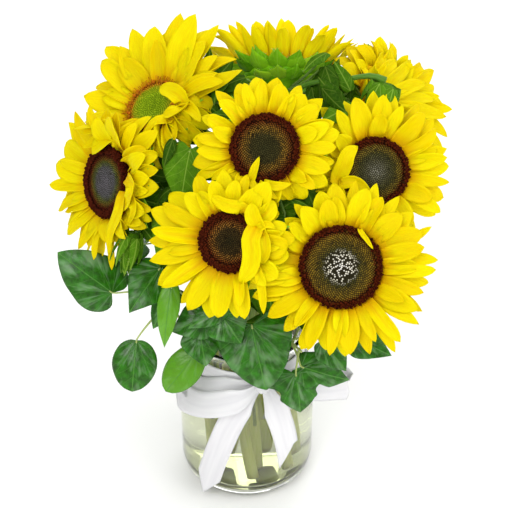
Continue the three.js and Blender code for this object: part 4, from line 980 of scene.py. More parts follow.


# Green blades: two greens, the green of young leaves, the veins' green, roughness, the degrees at which veins
# leave the stalk, the side veins' spacing in millimetres, and how strong the painted highlight streaks are.
def leafMaterial(name, light, dark, young, vein, gloss, rays, spacing, paintedGloss=0):
    material, shader, link = newMaterial(name)
    flat = addNode(material, "UVMap", uv_map="flat")
    parts = addNode(material, "SeparateXYZ", {"Vector": flat.outputs["UV"]})
    aside = addNode(material, "Math", {0: parts.outputs["X"]}, operation="ABSOLUTE")
    lines = []
    for degrees in rays:  # veins that run straight out from the stalk
        turn = radians(degrees)
        over = addNode(material, "Math", {0: aside.outputs[0], 1: math.cos(turn)}, operation="MULTIPLY")
        down = addNode(material, "Math", {
            0: parts.outputs["Y"], 1: -math.sin(turn), 2: over.outputs[0],
        }, operation="MULTIPLY_ADD")
        far = addNode(material, "Math", {0: down.outputs[0]}, operation="ABSOLUTE")
        wide, strength = (0.75, 0.8) if degrees == 0 else (0.45, 0.5)
        lines.append(addNode(material, "MapRange", {
            "Value": far.outputs[0], "From Min": wide, "From Max": 0.1, "To Min": 0.0, "To Max": strength,
        }).outputs["Result"])
    # side veins off the midrib, bent forward and a little wavy
    drift = addNode(material, "TexNoise", {"Vector": flat.outputs["UV"], "Scale": 0.09, "Detail": 1.0})
    slant = addNode(material, "Math", {
        0: aside.outputs[0], 1: -0.8, 2: parts.outputs["Y"],
    }, operation="MULTIPLY_ADD")
    bent = addNode(material, "Math", {
        0: drift.outputs["Fac"], 1: 5.0, 2: slant.outputs[0],
    }, operation="MULTIPLY_ADD")
    cell = addNode(material, "Math", {0: bent.outputs[0], 1: spacing / 2}, operation="PINGPONG")
    lines.append(addNode(material, "MapRange", {
        "Value": cell.outputs[0], "From Min": 0.45, "From Max": 0.1, "To Min": 0.0, "To Max": 0.4,
    }).outputs["Result"])
    net = addNode(material, "TexVoronoi", {
        "Vector": flat.outputs["UV"], "Scale": 0.42,
    }, feature="DISTANCE_TO_EDGE")
    lines.append(addNode(material, "MapRange", {
        "Value": net.outputs["Distance"], "From Min": 0.08, "From Max": 0.0, "To Min": 0.0, "To Max": 0.14,
    }).outputs["Result"])
    total = lines[0]
    for line in lines[1:]:
        total = addNode(material, "Math", {0: total, 1: line}, operation="MAXIMUM").outputs[0]

    tone = addNode(material, "Attribute", attribute_name="tone")
    blotch = addNode(material, "TexNoise", {"Vector": flat.outputs["UV"], "Scale": 0.13, "Detail": 4.0})
    mottle = addNode(material, "MapRange", {
        "Value": blotch.outputs["Fac"], "From Min": 0.35, "From Max": 0.65,
    })
    body = addNode(material, "Mix", {
        "Factor": mottle.outputs["Result"], 6: linear(dark), 7: linear(light),
    }, data_type="RGBA")
    # painted highlight: pale grey-green streaks that fan out from the stalk, laid otherwise on each leaf
    pick = addNode(material, "Attribute", attribute_name="pick")
    bearing = addNode(material, "Math", {0: parts.outputs["X"], 1: parts.outputs["Y"]}, operation="ARCTAN2")
    fan = addNode(material, "CombineXYZ", {
        "X": bearing.outputs[0], "Y": parts.outputs["Y"], "Z": pick.outputs["Fac"],
    })
    spread = addNode(material, "Mapping", {"Vector": fan.outputs["Vector"], "Scale": (4.5, 0.05, 40)})
    streaks = addNode(material, "TexNoise", {"Vector": spread.outputs["Vector"], "Scale": 1.0, "Detail": 2.0})
    paintedGlossAmount = addNode(material, "MapRange", {
        "Value": streaks.outputs["Fac"], "From Min": 0.5, "From Max": 0.72, "To Max": paintedGloss,
    })
    withPaintedGloss = addNode(material, "Mix", {
        "Factor": paintedGlossAmount.outputs["Result"], 6: body.outputs[2], 7: linear("#94B48C"),
    }, data_type="RGBA")
    aged = addNode(material, "Mix", {
        "Factor": tone.outputs["Fac"], 6: withPaintedGloss.outputs[2], 7: linear(young),
    }, data_type="RGBA")
    veined = addNode(material, "Mix", {
        "Factor": total, 6: aged.outputs[2], 7: linear(vein),
    }, data_type="RGBA")
    # painted shade: inner leaves, whose tone is lowest, are darkened
    innerShade = addNode(material, "MapRange", {"Value": tone.outputs["Fac"], "From Max": 0.06, "To Min": 0.4})
    shaded = addNode(material, "Mix", {
        "Factor": 1.0, 6: veined.outputs[2], 7: innerShade.outputs["Result"],
    }, data_type="RGBA", blend_type="MULTIPLY")
    link(shaded.outputs[2], shader.inputs["Base Color"])
    bump = addNode(material, "Bump", {"Height": total, "Distance": 0.0004, "Strength": 0.6}, invert=True)
    link(bump.outputs["Normal"], shader.inputs["Normal"])
    shader.inputs["Roughness"].default_value = gloss
    shader.inputs["Specular IOR Level"].default_value = 0.24 if gloss < 0.5 else 0.04
    shader.inputs["Subsurface Weight"].default_value = 0.08
    shader.inputs["Subsurface Radius"].default_value = (0.5, 1.0, 0.1)
    shader.inputs["Subsurface Scale"].default_value = 0.0015
    return material


def stemMaterial():
    material, shader, link = newMaterial("fibrousGreenStem")  # dull, ridged lengthwise every 1 mm or so
    flat = addNode(material, "UVMap", uv_map="flat")
    tone = addNode(material, "Attribute", attribute_name="tone")
    stretched = addNode(material, "Mapping", {"Vector": flat.outputs["UV"], "Scale": (0.9, 0.05, 1)})
    grain = addNode(material, "TexNoise", {"Vector": stretched.outputs["Vector"], "Scale": 1.0, "Detail": 3.0})
    stripe = addNode(material, "MapRange", {"Value": grain.outputs["Fac"], "From Min": 0.35, "From Max": 0.65})
    # tone 1 gives the pale colours low in the water: partly the stem's own colour, partly painted light
    ripe = addNode(material, "Mix", {
        "Factor": tone.outputs["Fac"], 6: linear("#44701A"), 7: linear("#DDE48A"),
    }, data_type="RGBA")
    pale = addNode(material, "Mix", {
        "Factor": tone.outputs["Fac"], 6: linear("#5E8A2A"), 7: linear("#E9EBA4"),
    }, data_type="RGBA")
    mixed = addNode(material, "Mix", {
        "Factor": stripe.outputs["Result"], 6: ripe.outputs[2], 7: pale.outputs[2],
    }, data_type="RGBA")
    link(mixed.outputs[2], shader.inputs["Base Color"])
    bump = addNode(material, "Bump", {"Height": grain.outputs["Fac"], "Distance": 0.0004, "Strength": 0.4})
    link(bump.outputs["Normal"], shader.inputs["Normal"])
    shader.inputs["Roughness"].default_value = 0.55
    shader.inputs["Specular IOR Level"].default_value = 0.2
    shader.inputs["Subsurface Weight"].default_value = 0.15
    shader.inputs["Subsurface Radius"].default_value = (0.6, 1.0, 0.2)
    shader.inputs["Subsurface Scale"].default_value = 0.002
    return material


greens = {
    "stem": stemMaterial(),
    "bract": leafMaterial("downyGreenBract", "#74B60C", "#4E9408", "#A4CA28", "#86BC30", 0.6, (0, 9), 40),
    "leaf": leafMaterial("mattSunflowerLeaf", "#4A7A0C", "#335E08", "#74A41E", "#86A83C", 0.62, (0, 32), 9.5),
    # the ivy's last number is how strong its painted highlight streaks are
    "ivy": leafMaterial(
        "glossyIvyLeaf", "#226C0A", "#093603", "#6AA81C", "#4F8830", 0.24, leafShape["rays"], 12, 0.42,
    ),
}


# Stems are pale low in the water and green higher up: partly their own colour, partly painted light making up
# for the light that the glass keeps out.
stemShape = {
    "steps": 60, "sides": 20, "foot": 12.6, "paleAndLitBelow": 130, "greenAbove": 210, "top": 0.15,
    "calyxFoot": [(0, -15.5), (5.2, -15.5), (6.6, -14.6), (8.6, -12.9)],
}

# Bracts: length, width and thickness, then how many each row has, how far the first two lean under the
# petals, their sizes, and how much longer and broader they are where the back of a bloom shows.
bractShape = {
    "length": 30, "width": 17, "thickness": 0.8,
    "under": {
        "counts": (17, 11, 7), "leans": (36, 46), "sizes": (0.95, 1.0, 0.8),
        "longer": 1, "broader": 1, "hairs": 5,
    },
    "shown": {
        "counts": (17, 15, 13), "leans": (44, 56), "sizes": (0.8, 0.85, 0.8),
        "longer": 1.04, "broader": 1.3, "hairs": 12,
    },
    "stations": (0, 0.12, 0.3, 0.5, 0.68, 0.84, 1), "outline": (0.74, 0.9, 1, 0.84, 0.5, 0.2, 0),
    "plain": {
        "tipBend": 0, "cup": 0.3, "roll": 0, "point": 1, "twist": 0,
        "wave": 0.3, "waveTurns": 8, "waveShift": 1,
    },
}

# Buds: outline as shares of the radius and length, and layers of sepals as count, height, lean, bend and size.
budShape = {
    "girth": 0.9, "tip": 0.94,
    "outline": [(0.5, 0.0), (0.78, 0.06), (0.95, 0.22), (1, 0.4), (0.9, 0.58), (0.7, 0.75), (0.4, 0.9)],
    "sepals": [(8, 0.1, 84, 42, 0.95), (7, 0.06, 80, 34, 1.0), (6, 0.02, 62, 44, 0.85)],
    "stalk": (2.5, 2.3, 3.6), "stalkFor": 13,
}


# The route of a stem: out of the calyx, down through the neck and across the water to the jar's foot.
def stemPoints(bloom):
    out = outOf(bloom)
    behind = lambda distance: Vector(bloom["centre"]) - out * (head["discFace"] + distance)
    neck = Vector((*bloom["neck"], 165))
    foot = Matrix.Rotation(radians(40), 3, "Z") @ (neck * 0.9)
    foot.z = 9
    waist = neck.lerp(foot, 0.5)
    waist.z = 87
    return [tuple(p) for p in (behind(12), behind(42), neck.lerp(behind(60), 0.42), neck, waist, foot)]


def bractGrid(bract, rows, columns):
    middle = petalGrid({**bractShape["plain"], **bract}, 25, 3)[:, 1]
    s = np.linspace(0, 1, rows)
    middle = np.stack([np.interp(s, np.linspace(0, 1, 25), line) for line in middle.T], axis=1)
    along = unit(np.gradient(middle, axis=0))
    side = np.array([-math.sin(bract["angle"]), math.cos(bract["angle"]), 0])
    normal = np.cross(along, side)
    half = bract["width"] / 2 * np.interp(s, bractShape["stations"], bractShape["outline"])
    v = np.linspace(-1, 1, columns)
    cup = bract.get("cup", bractShape["plain"]["cup"])
    lift = half[:, None] * cup * v ** 2 - 0.35 * np.exp(-(v * 5) ** 2) * (1 - s)[:, None]
    sideways = half[:, None] * v
    flat = np.stack([sideways, np.repeat(s[:, None], columns, axis=1) * bract["length"]], axis=2)
    return middle[:, None, :] + sideways[..., None] * side + lift[..., None] * normal[:, None, :], flat


def bractList(bloom, style):
    random = rng(bloom["seed"] + 1000)
    disc, lean = bloom["disc"], bloom["lean"]
    rows = [  # root, height, lean and bend; the last row is the outermost, nearest the stem
        (disc - 4.5, -2.2, lean - style["leans"][0], 26),
        (disc - 7, -3.8, lean - style["leans"][1], 34),
        (disc * 0.62, -8.4, -6, 28),
    ]
    bracts = []
    for layer, (root, height, rowLean, bend) in enumerate(rows):
        count, size = style["counts"][layer], style["sizes"][layer]
        for k in range(count):
            bracts.append({
                "angle": 2 * math.pi * (k + 0.5 * layer + random.uniform(-0.15, 0.15)) / count,
                "root": root, "height": height,
                "lean": radians(rowLean + random.uniform(-4, 4)),
                "bend": radians(bend + random.uniform(-14, 14)),
                "tipBend": radians(random.uniform(-30, 30)),
                "length": bractShape["length"] * size * random.uniform(0.85, 1.15) * style["longer"],
                "width": bractShape["width"] * size * random.uniform(0.88, 1.12) * style["broader"],
                "sway": random.uniform(-0.12, 0.12), "tone": random.uniform(0, 0.7),
            })
    return bracts


# Short hairs along the edges of a bract, as thin spikes.
def addHairs(made, grid, random, count, length):
    rows, columns = grid.shape[:2]
    rib = columns // 2
    for _ in range(count):
        row = random.integers(1, rows - 1)
        column = int(random.choice([0, columns - 1]))
        root = grid[row, column]
        outward = unit(root - grid[row, rib])
        forward = unit(grid[row + 1, rib] - grid[row, rib])
        aim = outward * random.uniform(0.5, 1) + forward * random.uniform(0.1, 0.9) + random.normal(0, 0.25, 3)
        tip = root + aim * length * random.uniform(0.6, 1.2)
        points, faces = tubeShell([root - outward * 0.3, tip], [0.11, 0.03], 3)
        made.add(points, faces, 0, None, (0.8, 0.5, 0.5))


# A bract in the place that a matrix gives, with hairs on its edges.
def addBract(made, slot, bract, rows, matrix, random, hairs, hairLength):
    grid, flat = bractGrid(bract, rows, 7)
    world = turned(grid.reshape(-1, 3), matrix).reshape(grid.shape)
    points, faces = bladeShell(world, bractShape["thickness"])
    values = (bract["tone"], 0.5, random.uniform(0, 1))
    made.add(points, faces, slot, np.tile(flat.reshape(-1, 2), (2, 1)), values)
    addHairs(made, world, random, hairs, hairLength)


def makeGreens(name, bloom):
    random = rng(bloom["seed"] + 2000)
    owner = name + "_stem"
    matrix = bloomMatrix(bloom)
    made = growingMesh()
    path = smoothCurve(stemPoints(bloom), stemShape["steps"])
    path = path[path[:, 2] > stemShape["foot"]]
    heights, sides = path[:, 2], stemShape["sides"]
    made.stemPath = path
    swell = head["stem"] * (1 + 0.02 * np.sin(np.arange(len(path)) * 0.7))
    swell = swell * np.interp(heights, [12, 165, 300], [0.98, 0.92, 0.98])
    points, faces = tubeShell(path, swell, sides)
    run = runOf(path)
    uv = np.stack([np.tile(np.arange(sides) * 1.5, len(path)), np.repeat(run, sides)], axis=1)
    # pale low in the water and at the foot's cap: partly the stem's own colour, partly painted light
    paleAndLitInWater = np.interp(heights, [stemShape["paleAndLitBelow"], stemShape["greenAbove"]], [1, stemShape["top"]])
    half = np.full(len(points), 0.5)
    values = np.stack([np.append(np.repeat(paleAndLitInWater, sides), [0.3, 1]), half, half], axis=1)
    made.add(points, faces, 0, np.concatenate([uv, [(0, 0), (0, run[-1])]]), values)
    place(owner, *tubeShell(path[::4], head["stem"], 5))

    disc = bloom["disc"]
    calyx = stemShape["calyxFoot"] + [(disc * 0.45, -10.2), (disc * 0.72, -7.2), (disc - 3, -4.2)]
    calyx += [(disc - 1.6, -2.2), (disc - 1.5, 0), (0, 0)]
    points, faces = latheShell(calyx, discShape["sides"])
    made.add(turned(points, matrix), faces, 1, points[:, :2] + 90, (0.1, 0.5, 0.5))
    place(owner, turned(points, matrix), faces)
    style = bractShape["shown" if name == "top_back" else "under"]
    for bract in bractList(bloom, style):
        low = bractGrid(bract, 5, 3)[0]
        coarse = turned(low.reshape(-1, 3), matrix), gridFaces(low)
        if not crossings(*coarse, (owner,)):
            addBract(made, 1, bract, 13, matrix, random, style["hairs"], 2.4)
            place(owner, *coarse)
    return made


def addBud(made, bud, owner):
    on, share, foot, axis, radius, length, stalk = bud
    random = rng(int(radius * 10))
    out = Vector(axis).normalized()
    side = out.cross(Vector((0.2, 0.3, 1))).normalized()
    matrix = Matrix((side, out.cross(side), out)).transposed().to_4x4()
    matrix.translation = Vector(foot)
    girth = radius * budShape["girth"]
    profile = [(r * girth, h * length) for r, h in [(0, 0), *budShape["outline"], (0, budShape["tip"])]]
    points, faces = latheShell(profile, 24)
    made.add(turned(points, matrix), faces, 2, points[:, :2] + 90, (0.05, 0.5, 0.5))
    place(owner, turned(points, matrix), faces)
    for layer, (count, height, lean, bend, size) in enumerate(budShape["sepals"]):
        for k in range(count):
            bract = {
                "angle": 2 * math.pi * (k + 0.5 * layer + random.uniform(-0.1, 0.1)) / count,
                "root": radius * (0.93 + 0.04 * layer), "height": height * length,
                "lean": radians(lean + random.uniform(-6, 6)), "bend": radians(bend + random.uniform(-8, 8)),
                "length": length * size * random.uniform(0.85, 1.05), "width": radius * 1.25,
                "sway": random.uniform(-0.08, 0.08), "tone": random.uniform(0.03, 0.16), "cup": 0.35,
            }
            addBract(made, 2, bract, 11, matrix, random, 6, 1.8)
    seat = Vector(pointOn(stemPoints(blooms[on]), leafSeats["stemSteps"], share))
    if not stalk:
        stalk = [seat.lerp(Vector(foot), 0.6) - 8 * out, Vector(foot) + 3 * out]
    stalkPath = smoothCurve([seat, *stalk], 18)
    radii = np.interp(np.linspace(0, 1, 19), [0, 0.85, 1], budShape["stalk"]) * radius / budShape["stalkFor"]
    addTube(made, stalkPath, radii, 12, owner, 0)


petalLook = petalMaterial()
discLooks = {kind: discMaterial(kind) for kind in floretKinds}
stems = {name: makeGreens(name, bloom) for name, bloom in blooms.items()}
print("stems ready")
discs = {name: makeDisc(name, bloom, discLooks) for name, bloom in blooms.items()}
for bud in buds:
    addBud(stems[bud[0]], bud, bud[0] + "_stem")
print("discs and buds ready")
petals = {name: makePetals(name, bloom, petalLook) for name, bloom in blooms.items()}
print("petals ready")


# Each leaf in its place on its stem or vine. On a vine each seat is a step further from the top.
def addLeaves():
    seated = [(on + "_stem", pointOn(stemPoints(blooms[on]), leafSeats["stemSteps"], share), leaf)
              for on, share, *leaf in stemLeaves]
    for name, vine in vines.items():
        for k, leaf in enumerate(vine["leaves"]):
            share = leafSeats["vineTop"] - leafSeats["vineStep"] * k
            seated.append((name, pointOn(vine["path"], leafSeats["vineSteps"], share), leaf))
    for seed, (owner, seat, leaf) in enumerate(seated):
        onIvy = owner in sprays
        made = sprays[owner] if onIvy else stems[owner.removesuffix("_stem")]
        tone = leafSeats["young"].get(seed, 0.07 if onIvy else 0.18)
        radii = np.linspace(1.2, 0.7, 15) if onIvy else np.linspace(1.8, 1.0, 15)
        stalk = leafSeats["byPoints"].get(seed) or leafStalk(seat, *leaf[:3])
        addTube(made, smoothCurve(stalk, 14), radii, 8, owner, 0.45)
        size = leafShape["fine" if leaf[3] > leafShape["wide"] else "plain"]
        slot, rays = (1, leafShape["rays"]) if onIvy else (2, ())
        addLeafBlade(made, slot, leaf, seed, tone, owner, size, rays)


sprays = {}
for name, vine in vines.items():
    sprays[name] = growingMesh()
    addTube(sprays[name], smoothCurve(vine["path"], 40), np.linspace(1.6, 1.15, 41), 8, name, 0.5)
addLeaves()

# Inner leaves between the heads: first some at random, each kept only where it passes all its neighbours.
# Stalks leave a stem between two lengths down it, and the leaf stays within a reach and between two heights.
fillers = {
    "seed": 5, "tries": 2600, "most": 64, "down": (14, 150), "stalk": (8, 16),
    "length": (30, 54), "share": 0.66, "reach": 104, "low": 205, "high": 425,
}
# Then one for each gap that is left, the try that crosses least: on which stem it grows, and for each leaf the
# x, y and z of its middle and its length.
gapShape = {"tries": 110, "stray": 4, "share": 0.46, "crossingsAllowed": 10}
gapLeaves = [
    ("top_back", (-34, 40, 421, 32), (-22, 10, 415, 34), (-28, 24, 424, 34), (-16, 30, 412, 38)),
    ("top_left", (-45, 50, 425, 38)),
    ("top_back", (-30, 50, 434, 24)),
    ("top_left", (-52, 10, 400, 34)),
    ("top_back", (70, 24, 420, 36), (84, 30, 430, 30)),
    ("top_right", (78, 20, 412, 36)),
    ("top_back", (60, 30, 440, 30)),
    ("top_right", (74, 0, 432, 30)),
    ("top_left", (-84, -10, 372, 34)),
    ("left", (-74, -20, 362, 30), (-92, -34, 305, 34), (-64, -60, 262, 36)),
    ("low_left", (-20, -60, 262, 40)),
    ("low_right", (10, -60, 262, 40), (48, -50, 250, 40)),
    ("centre", (34, -60, 330, 36)),
    ("right", (46, -56, 356, 34)),
    ("centre", (-32, -46, 362, 26)),
    ("top_left", (-79, -20, 385, 24)),
    ("low_left", (-68, -40, 349, 26)),
    ("centre", (-36, 30, 407, 24), (-30, 16, 409, 26)),
    ("top_right", (87, 20, 413, 24)),
    ("centre", (21, -72, 350, 30)),
    ("low_left", (14, -80, 335, 26)),
    ("centre", (56, -60, 366, 28), (66, -40, 362, 28), (46, -64, 358, 24), (-32, -30, 352, 36)),
    ("low_left", (-50, -45, 350, 36), (-50, -56, 338, 30)),
    ("top_back", (81, 48, 414, 40)),
    ("top_right", (79, 38, 408, 36), (88, 54, 420, 34), (70, 22, 404, 34)),
    ("top_back", (-20, 56, 426, 34), (-30, 52, 420, 34)),
    ("left", (-96, -10, 330, 30)),
    ("top_back", (-19, 40, 410, 34)),
    ("centre", (-24, 34, 404, 34)),
    ("left", (-84, -14, 300, 34)),
    ("top_back", (58, 40, 402, 34)),
    ("centre", (54, 30, 398, 34)),
    ("top_right", (62, 48, 408, 34)),
]


# An inner leaf with its stalk from a seat on a stem; sag lifts or lowers the middle of the stalk.
def addInnerLeaf(name, seat, sag, steps, thick, leaf, seed, tone):
    base, tip = leaf[:2]
    middle = (seat + base) / 2 + (0, 0, sag)
    stalk = smoothCurve([seat, middle, base, base + (tip - base) * leafShape["into"]], steps)
    addTube(stems[name], stalk, np.linspace(thick, 0.9, steps + 1), 6, name + "_stem", 0.1)
    addLeafBlade(stems[name], 2, leaf, seed, tone, name + "_stem")


def randomLeaf(random):
    names = list(stems)
    name = names[random.integers(len(names))]
    path = stems[name].stemPath
    k = int(np.searchsorted(runOf(path), random.uniform(*fillers["down"])))
    seat = path[min(k, len(path) - 2)]
    turn, rise = random.uniform(0, 2 * math.pi), radians(random.uniform(-50, 50))
    aim = np.array([math.cos(turn) * math.cos(rise), math.sin(turn) * math.cos(rise), math.sin(rise)])
    length = random.uniform(*fillers["length"])
    base = seat + aim * random.uniform(*fillers["stalk"])
    tip = base + (aim + np.array([0, 0, random.uniform(-0.7, 0.1)])) * length
    tip = base + (tip - base) / np.linalg.norm(tip - base) * length
    if math.hypot(tip[0], tip[1]) > fillers["reach"] or tip[2] > fillers["high"]:
        return None
    if not fillers["low"] < min(seat[2], tip[2]):
        return None
    face = np.array([0.4 * aim[0], 0.4 * aim[1] - 0.55, 0.75]) + random.normal(0, 0.2, 3)
    if np.linalg.norm(np.cross((tip - base) / length, face)) < 0.3:
        return None
    width = length * fillers["share"] * random.uniform(0.8, 1.15)
    return name, seat, (base, tip, face, width, "ovate" if random.uniform() < 0.6 else "heart")


# A leaf near a gap, turned at random, unless it would be seen edge on.
def gapLeaf(random, x, y, z, length):
    aim = random.normal(0, 1, 3)
    aim /= np.linalg.norm(aim)
    centre = np.array((x, y, z)) + random.normal(0, gapShape["stray"], 3)
    face = np.array([0.3 * aim[0], -0.75, 0.65]) + random.normal(0, 0.25, 3)
    if np.linalg.norm(np.cross(aim, face / np.linalg.norm(face))) < 0.75:
        return None
    return centre - aim * length / 2, centre + aim * length / 2, face, length * gapShape["share"], "narrow"


def addInnerLeaves():
    random = rng(fillers["seed"])
    added = 0
    for _ in range(fillers["tries"]):
        if added >= fillers["most"]:
            break
        found = randomLeaf(random)
        if found is None:
            continue
        name, seat, leaf = found
        low = leafGrid(*leaf, 900 + added, *leafShape["coarse"])[0]
        if not crossings(low, gridFaces(low), (), 0):
            # a tone under 0.06 gives this leaf painted shade
            addInnerLeaf(name, seat, 1, 8, 1.6, leaf, 900 + added, random.uniform(0, 0.06))
            added += 1
    for name, spot in ((name, spot) for name, *spots in gapLeaves for spot in spots):
        best, fewest = None, math.inf
        for _ in range(gapShape["tries"]):
            leaf = gapLeaf(random, *spot)
            if leaf is None:
                continue
            low = leafGrid(*leaf, 700 + added, *leafShape["coarse"])[0]
            found = crossings(low, gridFaces(low), (name + "_stem",), fewest)
            if found < fewest:
                best, fewest = leaf, found
            if fewest == 0:
                break
        if fewest <= gapShape["crossingsAllowed"]:
            path = stems[name].stemPath
            seat = path[int(np.argmin(np.linalg.norm(path - best[0], axis=1)))]
            # a tone under 0.06 gives this leaf painted shade
            addInnerLeaf(name, seat, -4, 10, 1.5, best, 700 + added, random.uniform(0, 0.04))
            added += 1
    print("inner leaves:", added)


addInnerLeaves()


# Everything rides on the one body, and each piece replaces the model's node of the same form.
def handOver(piece, node):
    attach(piece, "root")
    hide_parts(node)
    return piece


for name, made in stems.items():
    piece = made.piece("stem_" + name, [greens["stem"], greens["bract"], greens["leaf"]])
    handOver(piece, name + "_stem")
    handOver(petals[name], name + "_petals")
    handOver(discs[name], name + "_disc")
for name, made in sprays.items():
    handOver(made.piece("spray_" + name, [greens["stem"], greens["ivy"]]), name)
print("greens ready")


# Jar and water: outlines as (radius, height) pairs, from the foot up the outside and down the inside.
jarShape = {
    "outside": [(41, 0), (50.2, 1.83), (58, 7.03), (63.2, 14.8), (65, 24), (65, 71), (65, 112), (64.2, 122),
                (61, 132), (56.6, 137.4), (54.4, 143), (53.7, 152), (54.2, 162), (56, 168), (57.4, 172),
                (57.4, 175.5), (56.6, 177.6)],
    "inside": [(54.6, 177.9), (54.0, 176.4), (54.4, 173), (52.6, 167), (50.7, 161), (50.3, 152), (50.9, 143),
               (53.2, 138.6), (57.5, 130.5), (60.7, 121), (61.5, 112), (61.5, 71), (61.5, 32.5), (59.9, 24.6),
               (55.5, 18), (48.8, 13.6), (41, 12)],
    "water": [(41, 11.8), (48.9, 13.4), (55.6, 17.8), (60.1, 24.4), (61.7, 32.4), (61.7, 71), (61.7, 109.2),
              (61.3, 110)],
    "sides": 96,
}


def glassMaterial():
    material, shader, link = newMaterial("clearPressedGlass")  # polished, with a faint waver in the wall
    where = addNode(material, "TexCoord")
    waver = addNode(material, "TexNoise", {"Vector": where.outputs["Object"], "Scale": 28.0, "Detail": 1.0})
    bump = addNode(material, "Bump", {"Height": waver.outputs["Fac"], "Distance": 0.0006, "Strength": 0.25})
    link(bump.outputs["Normal"], shader.inputs["Normal"])
    shader.inputs["Base Color"].default_value = linear("#FCFEFD")
    shader.inputs["Roughness"].default_value = 0.0
    shader.inputs["IOR"].default_value = 1.5
    shader.inputs["Transmission Weight"].default_value = 1.0
    return material


def waterMaterial():
    material, shader, link = newMaterial("stillWater")  # clear, very faintly green
    where = addNode(material, "TexCoord")
    ripple = addNode(material, "TexNoise", {"Vector": where.outputs["Object"], "Scale": 20.0, "Detail": 0.0})
    bump = addNode(material, "Bump", {"Height": ripple.outputs["Fac"], "Distance": 0.0003, "Strength": 0.1})
    link(bump.outputs["Normal"], shader.inputs["Normal"])
    shader.inputs["Base Color"].default_value = linear("#F0F2D0")
    shader.inputs["Roughness"].default_value = 0.0
    shader.inputs["IOR"].default_value = 1.33
    shader.inputs["Transmission Weight"].default_value = 1.0
    return material


# A closed round piece: a disc at the foot of the outline is extruded and scaled up the outline, then capped.
def makeRound(name, outline, material):
    radius, height = outline[0]
    bpy.ops.object.select_all(action="DESELECT")
    bpy.ops.mesh.primitive_circle_add(
        vertices=jarShape["sides"], radius=radius * mm, fill_type="TRIFAN", location=(0, 0, 0),
    )
    piece = bpy.context.object
    piece.name = name
    bpy.ops.object.mode_set(mode="EDIT")
    bpy.ops.transform.translate(value=(0, 0, height * mm))
    bpy.ops.mesh.region_to_loop()
    for nextRadius, nextHeight in outline[1:]:
        rise = {"value": (0, 0, (nextHeight - height) * mm)}
        bpy.ops.mesh.extrude_edges_move(TRANSFORM_OT_translate=rise)
        widen = nextRadius / radius
        bpy.ops.transform.resize(value=(widen, widen, 1))
        radius, height = nextRadius, nextHeight
    bpy.ops.mesh.edge_face_add()
    bpy.ops.mesh.poke()
    bpy.ops.mesh.select_all(action="SELECT")
    bpy.ops.mesh.normals_make_consistent(inside=False)
    bpy.ops.object.mode_set(mode="OBJECT")
    bpy.ops.object.shade_smooth()
    piece.data.materials.append(material)
    return piece


wall = jarShape["outside"] + jarShape["inside"]
jar = handOver(makeRound("jarGlass", wall, glassMaterial()), "glass_jar")
handOver(makeRound("jarWater", jarShape["water"], waterMaterial()), "water")
print("jar and water ready")


# Ribbon: one satin strip as a band round the neck, two loops and two tails, gathered under a knot. A band's
# section is its inner and outer radius and its lowest and highest edge.
ribbonShape = {
    "width": 25, "thickness": 0.5, "gathered": 0.34,
    "leanOver": 50, "spreadOver": 30, "pleatOver": 22, "cutOver": 22,
    "band": (54.6, 55.4, 141.8, 162.2), "bandRadius": 55, "bandSides": 96,
    "knot": (15.5, -58.2, 150), "knotSize": (8.2, 5.4, 9.6), "knotTurn": 15, "knotSides": 20, "knotRings": 12,
}
# Each strip's middle line as (degrees round the jar, radius, height). Loops lean out, tails hang and are cut.
strips = {
    "leftLoop": {"lean": 34, "points": [
        (-77, 60, 151), (-95, 69, 142), (-120, 74, 131), (-142, 73, 122), (-150, 69, 121), (-150, 66, 127),
        (-128, 64.5, 137), (-100, 61, 148), (-79, 59, 151)]},
    "rightLoop": {"lean": 12, "points": [
        (-73, 60, 151), (-56, 68, 147), (-38, 82, 138), (-22, 98, 128), (-17, 101, 124), (-15, 97, 128),
        (-27, 80, 140), (-45, 65, 149), (-71, 59, 152)]},
    "leftTail": {"tip": 25, "points": [
        (-79, 60.5, 149), (-92, 66, 134), (-101, 68.5, 115), (-109, 69, 88), (-116, 70, 60),
        (-121, 71.5, 36)]},
    "rightTail": {"slant": -26, "points": [
        (-73, 60.5, 149), (-68, 66, 132), (-63, 68.5, 111), (-57.5, 69, 84), (-53.5, 70, 49)]},
}


def around(degrees, radius, height):
    return (radius * math.cos(radians(degrees)), radius * math.sin(radians(degrees)), height)


# A strip as a grid of points, gathered at the knot, its flat layout, and how long it is laid flat.
def stripGrid(strip, rows=57, columns=9):
    path = smoothCurve([around(*p) for p in strip["points"]], rows - 1)
    run = runOf(path)
    along = unit(np.gradient(path, axis=0))
    outward = unit(path * (1, 1, 0))
    if "lean" in strip:  # a loop, held at both ends
        ends = np.minimum(run, run[-1] - run)
        lean = radians(strip["lean"]) * np.minimum(1, ends / ribbonShape["leanOver"])[:, None]
        rough = np.cos(lean) * np.array([0, 0, 1]) - np.sin(lean) * outward
    else:
        ends = run
        rough = np.cross(outward, along)
    across = unit(rough - along * (rough * along).sum(axis=1, keepdims=True))
    normal = np.cross(across, along)
    spread = ribbonShape["gathered"] + 0.66 * (ends / ribbonShape["spreadOver"]) ** 1.2
    half = ribbonShape["width"] / 2 * np.minimum(1, spread)
    v = np.linspace(1, -1, columns)
    pleat = 1.1 * np.exp(-ends / ribbonShape["pleatOver"])[:, None] * np.cos(v * 7)
    bow = 0.9 * (1 - np.exp(-ends / ribbonShape["spreadOver"]))[:, None] * (v ** 2 - 0.4)
    grid = path[:, None, :] + (half[:, None] * v)[..., None] * across[:, None, :]
    grid = grid + (pleat + bow)[..., None] * normal[:, None, :]
    cut = strip.get("tip", 0) * (1 - np.abs(v)) + strip.get("slant", 0) * (v + 1) / 2
    share = np.clip((run - run[-1] + ribbonShape["cutOver"]) / ribbonShape["cutOver"], 0, 1)[:, None]
    grid = grid + (share * cut)[..., None] * along[:, None, :]
    aside = np.broadcast_to(v * ribbonShape["width"] / 2, grid.shape[:2])
    return grid, np.stack([aside, np.repeat(run[:, None], columns, axis=1)], axis=2), run[-1]


